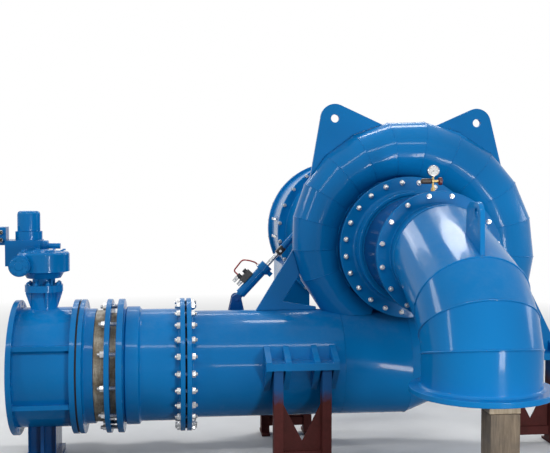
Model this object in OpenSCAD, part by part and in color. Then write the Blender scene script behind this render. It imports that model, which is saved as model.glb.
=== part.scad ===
// Horizontal Francis turbine generator set: inlet valve, dismantling joint, inlet pipe,
// mitred scroll case with its guide vane gear and servomotor, draft bend, shaft line
// and generator. Turbine axis along Y, inlet pipe along X, floor at Z = 0.

/* [Levels and fits] */
// Height of the inlet pipe centre above the floor
pipe_h = 612; // [580:1:660]
// Gap at welded, bolted and running seats
seat = 0.3; // [0.2:0.05:0.4]

/* [Inlet pipe] */
// Outer radius of the inlet pipe
pipe_r = 360; // [345:1:365]
// Outer radius of the pipe flanges
flange_r = 447.5; // [440:0.5:460]
// Thickness of the pipe flanges
flange_t = 31; // [28:1:40]
// Gasket gap between the two bolted flanges
gasket = 12; // [8:1:14]
// Distance from the turbine axis to the bolted flange pair
flange_pair_x = 1496; // [1470:1:1520]
// Distance from the turbine axis to the start of the scroll case
scroll_stub = 450; // [430:1:470]

/* [Inlet valve] */
// Distance from the turbine axis to the outer face of the inlet flange
valve_face_x = 2625; // [2610:1:2650]
// Face to face length of the valve body
valve_len = 425; // [410:1:440]
// Thickness of the valve flanges
valve_flange_t = 34; // [30:1:42]
// Radius of the valve bore
valve_bore_r = 345; // [330:1:350]
// Outer radius of the valve shell
valve_shell_r = 398; // [390:1:405]
// Bolt circle radius of the inlet flange
inlet_pcd_r = 420; // [415:1:424]
// Number of bolt holes in the inlet flange
inlet_holes = 24; // [20:4:28]
// Radius of the inlet bolt holes
inlet_hole_r = 15; // [11:0.5:16]
// Thickness of the butterfly disc at its centre
disc_t = 110; // [80:1:130]
// Radius of the valve stem
stem_r = 32; // [25:1:38]
// Offset of the stem from the disc's middle, towards the inlet
stem_off = 26; // [18:1:30]
// Width of the horizontal stiffening ribs
valve_rib_t = 30; // [20:1:40]
// Height of the upper rib above the pipe centre
valve_rib_up = 184; // [165:1:200]
// Depth of the lower rib below the pipe centre
valve_rib_down = 192; // [175:1:210]
// Width of the foot under the valve
foot_w = 180; // [160:1:200]
// Depth of the foot under the valve
foot_d = 320; // [280:1:360]
// Height of the foot's base plate
foot_plate_t = 42; // [30:1:60]

/* [Valve gear] */
// Height of the gear flange's seat above the pipe centre
gear_seat_h = 508; // [495:1:520]
// Radius of the gear mounting flange
gear_flange_r = 125; // [115:1:135]
// Thickness of the gear mounting flange
gear_flange_t = 45; // [35:1:55]
// Radius of the gear neck
gear_neck_r = 58; // [50:1:66]
// Height of the gear neck above its flange
gear_neck_h = 46; // [36:1:60]
// Radius of the worm wheel housing
gear_r = 170; // [155:1:180]
// Height of the worm wheel housing
gear_h = 172; // [150:1:190]
// Radius of the worm housing
worm_r = 62; // [55:1:70]
// Side offset of the worm from the valve stem
worm_off = 131; // [125:1:140]
// How far the worm housing reaches to the front
worm_front = 205; // [180:1:230]
// How far the worm housing reaches to the back
worm_back = 262; // [240:1:300]
// Side offset of the actuator from the worm
actuator_off = 51; // [40:1:60]
// Width of the actuator body
actuator_w = 236; // [210:1:250]
// Depth of the actuator body
actuator_d = 220; // [190:1:250]
// Height of the actuator body
actuator_h = 178; // [160:1:200]
// Radius of the actuator motor
motor_r = 79; // [70:1:86]
// Height of the actuator motor
motor_h = 142; // [120:1:160]
// Width of the terminal box
terminal_w = 62; // [50:1:75]
// Height of the terminal box
terminal_h = 126; // [110:1:140]

/* [Dismantling joint] */
// Length of the joint's flanged spigot with its shell
spigot_len = 97; // [90:1:105]
// Thickness of the spigot's flange
spigot_flange_t = 30; // [26:1:36]
// Outer radius of the spigot shell
spigot_r = 384; // [375:1:390]
// Length of the bare steel band
band_len = 73; // [66:1:80]
// Outer radius of the bare steel band
band_r = 372; // [368:1:376]
// Thickness of the loose gland flange
gland_t = 33; // [28:1:40]
// Thickness of the sleeve's gland flange
sleeve_flange_t = 40; // [34:1:46]
// Open gap between the two gland flanges
gland_gap = 42; // [35:1:50]
// Radius of the telescoping pipe inside the gap
telescope_r = 352; // [345:1:356]
// Number of tie rods
tie_rods = 12; // [8:1:16]
// Radius of the tie rods
tie_rod_r = 13; // [10:0.5:15]
// Angle of the first tie rod from the bottom of the flange
tie_rod_a = 10; // [0:1:29]
// Outer radius of the stepped sleeve behind the gland
step_r = 396; // [390:1:402]
// Length of the stepped sleeve
step_len = 83; // [70:1:100]
// Gap between the sleeve's flange and its step
step_gap = 16; // [12:1:24]
// Outer radius of the spool pipe
spool_r = 376; // [370:1:382]

/* [Scroll case] */
// Inner radius that every scroll section touches
scroll_inner_r = 440; // [430:1:450]
// Section radius of the scroll at the right hand side
side_r = 248; // [238:1:258]
// Wrap angle at which the section area would fall to nothing
wrap_a = 315; // [300:1:330]
// Wrap angle of one mitred segment
pitch_a = 17; // [15:1:18]
// Number of mitred segments
segments = 18; // [17:1:19]
// Wrap angle of the nose piece between the last segment and the pipe
nose_a = 27; // [20:1:32]
// Radius where the scroll plates meet the stay ring
stay_weld_r = 470; // [462:1:478]
// Half width of the stay ring
stay_half_w = 215; // [205:1:230]
// Thickness of the plates welded to the scroll's rim
rim_plate_t = 30; // [20:1:40]
// Radius of the rounded top of each lifting ear
ear_r = 100; // [90:1:110]
// Radius of the lifting holes
ear_hole_r = 28; // [22:1:32]

/* [Covers and draft bend] */
// Outer radius of the cover flanges
cover_r = 474; // [468:1:480]
// Thickness of the cover flanges
cover_t = 35; // [30:1:45]
// Radius of the step on the draft cover
cover_step_r = 372; // [360:1:385]
// Length of the step on the draft cover
cover_step_l = 130; // [100:1:160]
// Distance from the scroll's mid plane to the bend's flange joint
neck_y = 925; // [900:1:960]
// Outer radius of the neck flanges
neck_flange_r = 381; // [376:1:390]
// Thickness of each neck flange
neck_flange_t = 36; // [30:1:42]
// Radius of the draft cone at the neck flange
neck_r = 300; // [292:1:306]
// Radius of the draft cone behind the cover step
cone_r = 338; // [325:1:350]
// Outer radius of the bend at its outlet
bend_r = 309; // [304:1:316]
// Straight length before the first mitre of the bend
bend_start = 88; // [78:1:96]
// Length of the long first segment of the bend
bend_long = 560; // [548:1:572]
// Length of the second segment of the bend
bend_mid = 156; // [148:1:168]
// Length of the third segment of the bend
bend_short = 128; // [120:1:140]
// Height of the bend's outlet above the floor
outlet_h = 760; // [740:1:780]
// Outer radius of the outlet collar
collar_r = 371; // [364:1:378]
// Thickness of the outlet collar
collar_t = 30; // [25:1:35]
// Inner radius of the bend's outlet
outlet_bore_r = 297; // [288:1:300]
// Depth of the open outlet
outlet_depth = 200; // [180:1:215]
// Side of the square timber block
timber_w = 146; // [130:1:160]
// Thickness of the loose plank on the timber block
shim_t = 28; // [20:1:35]
// Radius of the pressure gauge
gauge_r = 36; // [30:1:42]
// Height of the gauge centre above the neck flange
gauge_h = 123; // [105:1:130]
// Distance of the gauge to the left of the turbine axis
gauge_left = 31; // [30:1:90]
// Radius of the gauge's boss on the neck flange
gauge_boss_r = 13; // [10:0.5:16]

/* [Guide vane gear] */
// Number of guide vanes
vanes = 16; // [12:1:18]
// Radius of the circle of guide vane stems
stem_circle_r = 330; // [322:1:336]
// Radius of a guide vane stem
vane_stem_r = 30; // [24:1:32]
// Radius of the round head on each vane arm
vane_hub_r = 44; // [40:1:46]
// Length of a vane arm from stem to pin
arm_len = 145; // [140:1:150]
// Thickness of a vane arm
arm_t = 24; // [18:1:28]
// Radius of the driving pins on the regulating ring
ring_pin_r = 11; // [9:0.5:12]
// Inner radius of the regulating ring
ring_in_r = 446; // [442:1:450]
// Outer radius of the regulating ring
ring_out_r = 506; // [500:1:512]
// Thickness of the regulating ring
ring_t = 40; // [34:1:44]
// Gap behind the regulating ring, in front of the vane arms
ring_gap = 7; // [6:0.5:9]
// Radius of the hub in the middle of the head cover
hub_r = 160; // [150:1:170]
// Length of the hub behind the head cover
hub_len = 120; // [100:1:140]

/* [Servomotor] */
// Distance of the servomotor's plane behind the scroll's mid plane
servo_y = 356; // [350:1:362]
// Base pin distance from the turbine axis, along the pipe
servo_pin_x = 1128; // [1110:1:1140]
// Base pin height above the pipe centre
servo_pin_h = 400; // [390:1:415]
// Width of the servomotor bracket's cheeks at the pipe
cheek_w = 226; // [200:1:230]
// Slope of the servomotor
servo_a = 47; // [46:0.5:48]
// Outer radius of the cylinder tube
servo_tube_r = 36; // [32:1:40]
// Length of the cylinder tube with its end cap
servo_tube_l = 330; // [300:1:350]
// Radius of the gland
gland_r = 46; // [42:1:52]
// Length of the gland
gland_l = 60; // [50:1:75]
// Radius of the piston rod
rod_r = 16; // [14:0.5:20]
// Radius of the link tube
link_r = 24; // [20:1:28]
// Free length of the piston rod at rest
rod_free = 110; // [90:1:130]

/* [Shaft and generator] */
// Radius of the main shaft
shaft_r = 75; // [65:1:78]
// Distance from the scroll's mid plane to the shaft coupling
coupling_y = 960; // [900:1:1020]
// Radius of the shaft coupling
coupling_r = 190; // [170:1:200]
// Distance from the scroll's mid plane to the bearing pedestal
pedestal_y = 1260; // [1200:1:1300]
// Distance from the scroll's mid plane to the generator frame
frame_y = 2000; // [1950:1:2050]
// Length of the generator frame
frame_len = 850; // [800:1:900]
// Radius of the generator frame
frame_r = 620; // [600:1:640]
// Height of the flanges at both ends of the generator frame
frame_flange_w = 28; // [20:1:36]
// Width of a generator foot
foot_block_w = 250; // [220:1:280]
// Distance from the middle of the generator to the middle of a foot
foot_block_x = 470; // [450:1:490]
// Height of the generator's base
base_h = 480; // [450:1:510]
// Length of the end hood on the turbine side
hood_len = 400; // [360:1:440]
// Step from the frame down to the end hood
hood_step = 48; // [35:1:60]
// Radius of the end hood at its nose
hood_nose_r = 515; // [500:1:530]
// Depth of the hood's recess round the shaft
hood_recess = 29; // [20:1:35]
// Length of the rear end shield
rear_len = 120; // [100:1:150]

/* [Stands] */
// Distance from the turbine axis to the middle of the inlet stands
stand_x = 755; // [740:1:770]
// Overall width of each inlet stand
stand_w = 372; // [350:1:390]
// Width of a stand leg
leg_w = 60; // [50:1:70]
// Thickness of the bracket's bearing plate
bracket_t = 46; // [38:1:50]
// Height of the bearing plate's underside above the pipe centre
bracket_up = 34; // [28:1:40]
// Distance from the pipe centre to the bracket's outer edge
bracket_reach = 505; // [490:1:520]
// Height of a bracket rib above the bearing plate, at the pipe
bracket_rib_up = 87; // [70:1:100]
// Thickness of a bracket rib
bracket_rib_t = 38; // [30:1:42]
// Distance from the turbine axis to the middle of the scroll's foot
scroll_foot_x = 945; // [930:1:960]

/* [Hidden] */
$fn = 96;

blue = [0.06, 0.36, 0.66];
deep_blue = [0.03, 0.22, 0.48];
bare_steel = [0.62, 0.62, 0.60];
primer_red = [0.40, 0.13, 0.10];
timber = [0.42, 0.33, 0.22];
dark = [0.08, 0.08, 0.09];
plank = [0.66, 0.60, 0.48];

function vane_name(i) = str("vane_arm_", i < 9 ? "0" : "", i + 1);

axis_h = pipe_h + scroll_inner_r + pipe_r;
pipe_drop = axis_h - pipe_h;
eps = 1;

// Stations along the inlet line, as distances to the left of the turbine axis
valve_x = valve_face_x - valve_len / 2;
stem_x = valve_x + stem_off;
lower_boss_r = gear_neck_r + 18;
lower_boss_h = 24;
spigot_x = valve_face_x - valve_len - gasket;
band_x = spigot_x - spigot_len;
gland_x = band_x - band_len;
sleeve_x = gland_x - gland_t - gland_gap;
step_x = sleeve_x - sleeve_flange_t - step_gap;

// The set's own extent, which places the origin under its middle
actuator_x = stem_x + worm_off + actuator_off;
left_x = actuator_x + actuator_w / 2 + terminal_w;
right_x = scroll_foot_x + stand_w / 2;
bend_turn = 22.5;
outlet_y = neck_y + bend_start + neck_flange_t + bend_long * cos(bend_turn)
    + bend_mid * cos(2 * bend_turn) + bend_short * cos(3 * bend_turn);
front_y = outlet_y + collar_r;
rear_y = frame_y + frame_len + rear_len + 130;

// Scroll sections: radius, centre distance and mid-plane outline at wrap angle a
inlet_swell = pipe_r - side_r * sqrt(1 + 90 / wrap_a);
function section_r(a) = side_r * sqrt(1 - a / wrap_a) + inlet_swell * pow(max(0, (-a - 15) / 75), 2);
function section_c(a) = scroll_inner_r + section_r(a);
function rim(a) = section_c(a) + section_r(a);
function station(i) = -90 + pitch_a * i;
end_a = station(segments);
stay_r = stay_weld_r * cos(pitch_a / 2) - seat;

// Mid-plane outline of the scroll, with the welding gap, closed through the axis
function rim_point(a, gap = 0) = (rim(a) + gap) * [cos(a), sin(a)];
rim_outline = concat([for (i = [0 : segments]) rim_point(station(i), seat)], [[0, 0]]);

function polar(r, a) = r * [cos(a), sin(a)];
// Point where the line from b touches the circle of radius r round c, on side s
function tangent(c, r, b, s) = let(d = b - c, l = norm(d)) c + polar(r, atan2(d[1], d[0]) + s * acos(r / l));

servo_dir = [cos(servo_a), sin(servo_a)];
servo_base = [-servo_pin_x, servo_pin_h - pipe_drop];
// Distance of the servomotor's line from the turbine axis, and its length to the ring pin
lug_r = abs(servo_base[0] * servo_dir[1] - servo_base[1] * servo_dir[0]);
lug_a = servo_a + 90;
servo_l = -(servo_base[0] * servo_dir[0] + servo_base[1] * servo_dir[1]);
lug_t = 30;

frame_flange_r = frame_r + frame_flange_w;
hood_r = frame_r - hood_step;

// Stack of the guide vane gear behind the scroll, as distances from the mid plane
cover_back = stay_half_w + cover_t;
ring_front = cover_back + ring_gap;
ring_back = ring_front + ring_t;
guide_back = ring_back - 2;
arm_front = ring_back + 5;
arm_back = arm_front + arm_t;
pin_circle_r = stem_circle_r + arm_len;

// Whole set, shifted so that the origin is under the middle of its extent
module set_frame() translate([(left_x - right_x) / 2, (front_y - rear_y) / 2, 0]) children();
// X right, Y up, Z towards the draft bend, origin on the turbine axis in the mid plane
module on_axis() set_frame() translate([0, 0, axis_h]) rotate([90, 0, 0]) children();
// Z along the pipe towards the scroll, starting a distance to the left of the turbine axis
module on_pipe(left) set_frame() translate([-left, 0, pipe_h]) rotate([0, 90, 0]) children();
// Behind the scroll: Z away from the draft bend, starting at a distance from the mid plane
module behind(y) on_axis() mirror([0, 0, 1]) translate([0, 0, y]) children();
// X along the servomotor, origin at its base pin
module on_servo() on_axis() translate([servo_base[0], servo_base[1], -servo_y]) rotate([0, 0, servo_a])
  children();

module tube(ro, ri, l) difference() {
  cylinder(r = ro, h = l);
  translate([0, 0, -eps]) cylinder(r = ri, h = l + 2 * eps);
}
module centred_box(w, d, h) translate([-w / 2, -d / 2, 0]) cube([w, d, h]);

// Flanged body with two horizontal ribs on each side, stem bosses and an open bore
module valve_body() color(blue) difference() {
  union() {
    on_pipe(valve_face_x) cylinder(r = flange_r, h = valve_flange_t);
    on_pipe(valve_face_x) cylinder(r = valve_shell_r, h = valve_len);
    on_pipe(valve_face_x - valve_len + valve_flange_t) cylinder(r = flange_r, h = valve_flange_t);
    for (side = [-1, 1], level = [valve_rib_up, -valve_rib_down])
      valve_rib(side, level);
    set_frame() translate([-stem_x, 0, pipe_h]) cylinder(r = gear_neck_r + 30, h = gear_seat_h);
    set_frame() translate([-stem_x, 0, pipe_h - valve_shell_r - lower_boss_h])
      cylinder(r = lower_boss_r, h = 200);
  }
  on_pipe(valve_face_x + eps) cylinder(r = valve_bore_r, h = valve_len + 2 * eps);
  set_frame() translate([-stem_x, 0, pipe_h]) cylinder(r = stem_r + seat, h = gear_seat_h + eps);
  for (i = [0 : inlet_holes - 1])
    on_pipe(valve_face_x + eps) rotate([0, 0, (i + 0.5) * 360 / inlet_holes])
      translate([inlet_pcd_r, 0, 0]) cylinder(r = inlet_hole_r, h = valve_flange_t + 2 * eps);
}
module valve_rib(side, level) {
  reach = sqrt(pow(flange_r - 6, 2) - pow(abs(level) + valve_rib_t / 2, 2));
  set_frame() translate([-valve_x, side * (reach + valve_bore_r * 0.6) / 2, pipe_h + level - valve_rib_t / 2])
    centred_box(valve_len - valve_flange_t, reach - valve_bore_r * 0.6, valve_rib_t);
}

// Closed lens-shaped disc on its vertical stem
module valve_disc() color(bare_steel) {
  lens_r = (pow(valve_bore_r, 2) + pow(disc_t / 2, 2)) / disc_t;
  edge_r = valve_bore_r - seat;
  union() {
    on_pipe(valve_x) intersection() {
      cylinder(r = edge_r, h = disc_t, center = true);
      rotate_extrude() intersection() {
        translate([0, disc_t / 2 - lens_r]) circle(r = lens_r, $fn = 360);
        translate([0, lens_r - disc_t / 2]) circle(r = lens_r, $fn = 360);
        translate([0, -disc_t]) square([edge_r, 2 * disc_t]);
      }
    }
    set_frame() translate([-stem_x, 0, pipe_h])
      cylinder(r = stem_r, h = gear_seat_h + gear_flange_t + gear_neck_h - seat);
  }
}

// Pedestal under the valve: base plate, two side plates and a centre web
module valve_foot() color(deep_blue) {
  shell_clear = valve_shell_r + seat;
  difference() {
    set_frame() translate([-stem_x, 0, 0]) {
      centred_box(foot_w + 46, foot_d + 30, foot_plate_t);
      translate([0, 0, foot_plate_t])
        centred_box(foot_w, foot_d, pipe_h - valve_shell_r * 0.86 - foot_plate_t);
    }
    set_frame() for (side = [-1, 1]) translate([-stem_x, side * (foot_d / 2 + 14), foot_plate_t])
      for (half = [-1, 1])
        translate([half * (foot_w / 4 + 3), 0, 0]) centred_box(foot_w / 2 - 16, foot_d * 0.42, pipe_h);
    on_pipe(valve_face_x) cylinder(r = shell_clear, h = valve_len);
    set_frame() translate([-stem_x, 0, pipe_h - valve_shell_r - lower_boss_h - seat])
      cylinder(r = lower_boss_r + seat, h = 200);
  }
}

// Hollow bracket between the valve and its gearbox
module gear_mount() color(blue) set_frame() translate([-stem_x, 0, pipe_h + gear_seat_h]) difference() {
  union() {
    cylinder(r = gear_flange_r, h = gear_flange_t);
    cylinder(r = gear_neck_r, h = gear_flange_t + gear_neck_h);
    for (a = [45 : 90 : 315]) rotate([0, 0, a]) translate([gear_neck_r * 0.8, -8, gear_flange_t - eps])
      cube([gear_neck_r * 0.7, 16, gear_neck_h - 4]);
  }
  translate([0, 0, -eps]) cylinder(r = stem_r + seat, h = gear_flange_t + gear_neck_h + 2 * eps);
}

gear_z = pipe_h + gear_seat_h + gear_flange_t + gear_neck_h;
worm_z = gear_z + gear_h * 0.54;
actuator_y = worm_back + actuator_d / 2;
actuator_z = worm_z - actuator_h * 0.21;

// Worm wheel housing with the horizontal worm housing beside it
module worm_gearbox() color(blue) union() {
  set_frame() translate([-stem_x, 0, gear_z]) rotate_extrude() polygon([[0, 0], [gear_r * 0.66, 0],
      [gear_r * 0.78, gear_h * 0.2], [gear_r, gear_h * 0.26], [gear_r, gear_h * 0.93],
      [gear_r * 0.95, gear_h], [gear_neck_r * 1.3, gear_h], [gear_neck_r * 1.2, gear_h + 14],
        [0, gear_h + 14]]);
  set_frame() translate([-stem_x - worm_off, -worm_front, worm_z]) rotate([-90, 0, 0])
    cylinder(r = worm_r, h = worm_front + worm_back);
  set_frame() translate([-stem_x - worm_off, -worm_front + 18, worm_z]) rotate([-90, 0, 0])
    cylinder(r = worm_r + 8, h = 26);
  set_frame() translate([-stem_x - worm_off, worm_back - 30, worm_z]) rotate([-90, 0, 0])
    cylinder(r = worm_r + 38, h = 30);
  set_frame() translate([-stem_x - worm_off, -gear_r * 0.9, worm_z - worm_r * 0.8])
    cube([worm_off, gear_r * 1.8, worm_r * 1.6]);
}

// Actuator gear case with its motor seat, round rear cover and the hand drive to the right
module at_actuator(y, z) set_frame() translate([-actuator_x, y, z]) children();
module actuator_body() color(blue) union() {
  at_actuator(actuator_y, actuator_z) centred_box(actuator_w, actuator_d, actuator_h);
  at_actuator(worm_back + actuator_d, actuator_z + actuator_h * 0.42) rotate([-90, 0, 0])
    cylinder(r = actuator_h * 0.4, h = 42);
  at_actuator(actuator_y, actuator_z + actuator_h) translate([motor_off, 0, 0])
    cylinder(r = motor_r + 14, h = 62);
  at_actuator(actuator_y, actuator_z + actuator_h * 0.75) rotate([0, 90, 0])
    cylinder(r = 40, h = actuator_w / 2 + 46);
  at_actuator(actuator_y, actuator_z + actuator_h * 0.75) rotate([0, 90, 0])
    cylinder(r = 20, h = actuator_w / 2 + 130);
}
motor_off = 30;
module actuator_motor() color(deep_blue) at_actuator(actuator_y, actuator_z + actuator_h + 62)
  translate([motor_off, 0, 0]) rotate_extrude() polygon([[0, 0], [motor_r, 0], [motor_r, motor_h - 22],
      [motor_r * 0.94, motor_h - 8], [motor_r * 0.8, motor_h], [0, motor_h]]);

// Terminal box on the left of the actuator with two cable glands at its front
module actuator_terminal_box() color(blue) at_actuator(actuator_y, actuator_z + actuator_h - 34)
  translate([-actuator_w / 2 - terminal_w, -60, 0]) union() {
    cube([terminal_w, 120, terminal_h]);
    for (level = [0.3, 0.72]) translate([terminal_w / 2, 1, terminal_h * level]) rotate([90, 0, 0])
      cylinder(r = 19, h = 15);
  }

// Dismantling joint: flanged spigot, bare band, gland flange, tie rods
module joint_spigot() color(blue) union() {
  on_pipe(spigot_x) cylinder(r = flange_r, h = spigot_flange_t);
  on_pipe(spigot_x + gasket) cylinder(r = spigot_r - 14, h = gasket + eps);
  on_pipe(spigot_x) cylinder(r = spigot_r, h = spigot_len);
}
module joint_band() color(bare_steel) union() {
  on_pipe(band_x) cylinder(r = band_r, h = band_len);
  on_pipe(band_x) cylinder(r = telescope_r, h = band_x - sleeve_x);
}
module joint_gland_ring() color(blue) on_pipe(gland_x) tube(flange_r, telescope_r + seat, gland_t);
module joint_tie_rods() color(bare_steel) for (i = [0 : tie_rods - 1])
  on_pipe(gland_x - gland_t) rotate([0, 0, tie_rod_a + i * 360 / tie_rods]) translate([inlet_pcd_r - 8, 0, 0])
    cylinder(r = tie_rod_r, h = gland_gap);

// Spool pipe with its gland flange, stepped sleeve and bolted flange
module spool_pipe() color(blue) union() {
  on_pipe(sleeve_x) cylinder(r = flange_r, h = sleeve_flange_t);
  on_pipe(sleeve_x) cylinder(r = spool_r, h = sleeve_x - flange_pair_x - gasket / 2);
  on_pipe(step_x) cylinder(r = step_r, h = step_len);
  on_pipe(flange_pair_x + gasket / 2 + flange_t) cylinder(r = flange_r, h = flange_t);
}
module inlet_pipe() color(blue) union() {
  on_pipe(flange_pair_x + gasket / 2) cylinder(r = pipe_r - 12, h = gasket + eps);
  on_pipe(flange_pair_x - gasket / 2) cylinder(r = flange_r, h = flange_t);
  on_pipe(flange_pair_x - gasket / 2) cylinder(r = pipe_r, h = flange_pair_x - gasket / 2 - scroll_stub);
}

// Welded side brackets on the pipe, front and rear: a bearing plate with four tapered ribs
module inlet_brackets() color(blue) for (side = [-1, 1]) difference() {
  union() {
    set_frame() translate([-stand_x - stand_w * 0.605, side > 0 ? 0 : -bracket_reach, pipe_h + bracket_up])
      cube([stand_w * 1.21, bracket_reach, bracket_t]);
    for (k = [0 : 3]) bracket_rib(side, -stand_x + stand_w * [-0.585, -0.25, 0.25, 0.585][k]);
  }
  on_pipe(flange_pair_x) cylinder(r = pipe_r + seat, h = flange_pair_x);
}
module bracket_rib(side, x) set_frame() translate([x + bracket_rib_t / 2, 0, pipe_h])
  rotate([0, -90, 0]) linear_extrude(bracket_rib_t) polygon([for (p = [
    [bracket_up - 2, bracket_reach - 2], [bracket_up + bracket_t + 10, bracket_reach - 2],
    [bracket_up + bracket_t + bracket_rib_up, pipe_r - 40], [-160, pipe_r - 60]]) [p[0], side * p[1]]]);

// Pair of stands under the brackets: two legs with a V-cut plate, a foot bar and base plates
module inlet_stands() color(primer_red) for (side = [-1, 1])
  set_frame() translate([-stand_x, side * (bracket_reach - leg_w), 0]) stand(stand_w, pipe_h + bracket_up);
module scroll_stand() color(primer_red)
  set_frame() translate([scroll_foot_x, 0, 0]) stand(stand_w, foot_plane_h);
module stand(w, h) union() {
  for (s = [-1, 1]) {
    translate([s * (w - leg_w) / 2, 0, 0]) centred_box(leg_w, leg_w * 1.6, h);
    translate([s * (w - leg_w) / 2, 0, 0]) centred_box(leg_w, leg_w * 3.4, 16);
  }
  rotate([90, 0, 0]) linear_extrude(14, center = true) difference() {
    translate([-w / 2 + leg_w / 2, 60]) square([w - leg_w, h * 0.56]);
    polygon([[0, h * 0.28], [w / 2 - leg_w, 60 + h * 0.57], [-w / 2 + leg_w, 60 + h * 0.57]]);
  }
  translate([0, 0, 60]) centred_box(w - leg_w, leg_w, leg_w);
}

foot_plane_h = pipe_h + 2;
// Foot of the scroll: a mid-plane gusset on a bearing plate with two cross ribs
module scroll_foot() color(blue) union() {
  set_frame() translate([scroll_foot_x, 0, foot_plane_h]) centred_box(stand_w, 300, bracket_t);
  on_axis() linear_extrude(rim_plate_t, center = true) difference() {
    polygon([[scroll_foot_x - stand_w / 2, foot_plane_h + bracket_t - eps - axis_h],
        [scroll_foot_x + stand_w / 2 - 16, foot_plane_h + bracket_t - eps - axis_h],
        [scroll_foot_x + stand_w / 2 - 16, foot_plane_h + bracket_t + 60 - axis_h],
        rim_point(-18, 14), rim_point(-30, -60), rim_point(-45, -60)]);
    polygon(rim_outline);
  }
  for (x = [scroll_foot_x + stand_w * 0.08, scroll_foot_x + stand_w * 0.36])
    foot_rib(x);
}
module foot_rib(x) set_frame() translate([x, 0, foot_plane_h + bracket_t - eps]) rotate([90, 0, 90])
  linear_extrude(24, center = true)
    polygon([[-140, 0], [140, 0], [rim_plate_t / 2, 70], [-rim_plate_t / 2, 70]]);

// Mitred scroll: rings of section points at each station, joined by flat strips
ring_n = 41;
function clip_a(a) = acos((stay_weld_r - section_c(a)) / section_r(a));
function section_point(a, f) = let(w = (2 * f - 1) * clip_a(a), p = section_c(a) + section_r(a) * cos(w))
  [p * cos(a), p * sin(a), section_r(a) * sin(w)];
function inlet_point(f) = let(w = (2 * f - 1) * 177)
  [-scroll_stub, -pipe_drop - pipe_r * cos(w), pipe_r * sin(w)];
scroll_points = concat(
  [for (k = [0 : ring_n - 1]) inlet_point(k / (ring_n - 1))],
  [for (i = [0 : segments], k = [0 : ring_n - 1]) section_point(station(i), k / (ring_n - 1))]);
scroll_faces = concat(
  [[for (k = [0 : ring_n - 1]) k]],
  [for (i = [0 : segments], k = [0 : ring_n - 1]) let(m = (k + 1) % ring_n)
    [i * ring_n + k, (i + 1) * ring_n + k, (i + 1) * ring_n + m, i * ring_n + m]],
  [[for (k = [ring_n - 1 : -1 : 0]) (segments + 1) * ring_n + k]]);
module scroll_case() color(blue) on_axis() polyhedron(points = scroll_points, faces = scroll_faces);

// Nose that closes the scroll onto the top of the inlet pipe
module scroll_nose() color(blue) on_axis() difference() {
  rotate([0, 0, end_a]) rotate_extrude(angle = nose_a) intersection() {
    translate([section_c(end_a), 0]) circle(r = section_r(end_a));
    translate([stay_weld_r, -section_r(end_a)]) square([2 * section_r(end_a), 2 * section_r(end_a)]);
  }
  translate([-2 * scroll_stub, -pipe_drop, 0]) rotate([0, 90, 0])
    cylinder(r = pipe_r + seat, h = 3 * scroll_stub);
}
module stay_ring() color(deep_blue) on_axis() cylinder(r = stay_r, h = 2 * stay_half_w, center = true);

// Lifting ears on the scroll's rim, each a plate with a rounded top and a hole
ear_left = [-470, 875];
ear_right = [530, 850];
module lifting_ears() color(blue) {
  ear(ear_left, [-640, 480], [-140, 835]);
  ear(ear_right, [240, 830], [706, 560]);
}
module ear(c, low_left, low_right) on_axis() linear_extrude(rim_plate_t, center = true) difference() {
  union() {
    polygon([tangent(c, ear_r, low_left, -1), low_left, low_right, tangent(c, ear_r, low_right, 1)]);
    translate(c) circle(r = ear_r);
  }
  polygon(rim_outline);
  translate(c) circle(r = ear_hole_r);
}

// Slanting flat brace from the pipe's top to the scroll, with its strip along the pipe
module scroll_brace() color(blue) on_axis() linear_extrude(rim_plate_t, center = true) difference() {
  union() {
    polygon([[-1016, pipe_r + seat - pipe_drop], [-868, pipe_r + seat - pipe_drop],
        [-868 + 200, -120], [-730 + 60, 20], [-744, 2]]);
    polygon([[-880, pipe_r + seat - pipe_drop], [-600, pipe_r + seat - pipe_drop],
        [-600, pipe_r + 20 - pipe_drop], [-850, pipe_r + 62 - pipe_drop]]);
  }
  polygon(rim_outline);
}

// Draft side: bolted cover with a step, dark cone and neck flange
module draft_cover() color(blue) on_axis() translate([0, 0, stay_half_w]) union() {
  cylinder(r = cover_r, h = cover_t);
  cylinder(r = cover_step_r, h = cover_t + cover_step_l);
}
module draft_cone() color(deep_blue) on_axis() union() {
  translate([0, 0, stay_half_w + cover_t + cover_step_l])
    cylinder(r1 = cone_r, r2 = neck_r, h = neck_y - stay_half_w - cover_t - cover_step_l - neck_flange_t / 2);
  translate([0, 0, neck_y - neck_flange_t]) cylinder(r = neck_flange_r, h = neck_flange_t);
}

// Draft bend: corner points in the plane of the axis and the vertical, [towards, up]
bend_points = [[neck_y + neck_flange_t / 2, 0],
  [neck_y + neck_flange_t + bend_start, 0],
  [neck_y + neck_flange_t + bend_start + bend_long * cos(bend_turn), -bend_long * sin(bend_turn)],
  [outlet_y - bend_short * cos(3 * bend_turn),
    -bend_long * sin(bend_turn) - bend_mid * sin(2 * bend_turn)],
  [outlet_y, -bend_long * sin(bend_turn) - bend_mid * sin(2 * bend_turn) - bend_short * sin(3 * bend_turn)],
  [outlet_y, outlet_h - axis_h]];
bend_cut = 1600;
module bend_at(p, a) translate([0, p[1], p[0]]) rotate([a, 0, 0]) children();
// Segment k slopes down at k turns and is cut by the planes that halve the corners
module bend_segment(k, profile) difference() {
  bend_at(bend_points[k], k * bend_turn) rotate_extrude() polygon(profile);
  if (k > 0) bend_at(bend_points[k], (k - 0.5) * bend_turn)
    translate([-bend_cut / 2, -bend_cut / 2, -bend_cut])
    cube(bend_cut);
  if (k < 4) bend_at(bend_points[k + 1], (k + 0.5) * bend_turn) translate([-bend_cut / 2, -bend_cut / 2, 0])
    cube(bend_cut);
}
function bend_l(k) = norm(bend_points[k + 1] - bend_points[k]);
// Length past each corner that the cutting planes need, and the tapered middle of the long segment
bend_over = 130;
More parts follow.
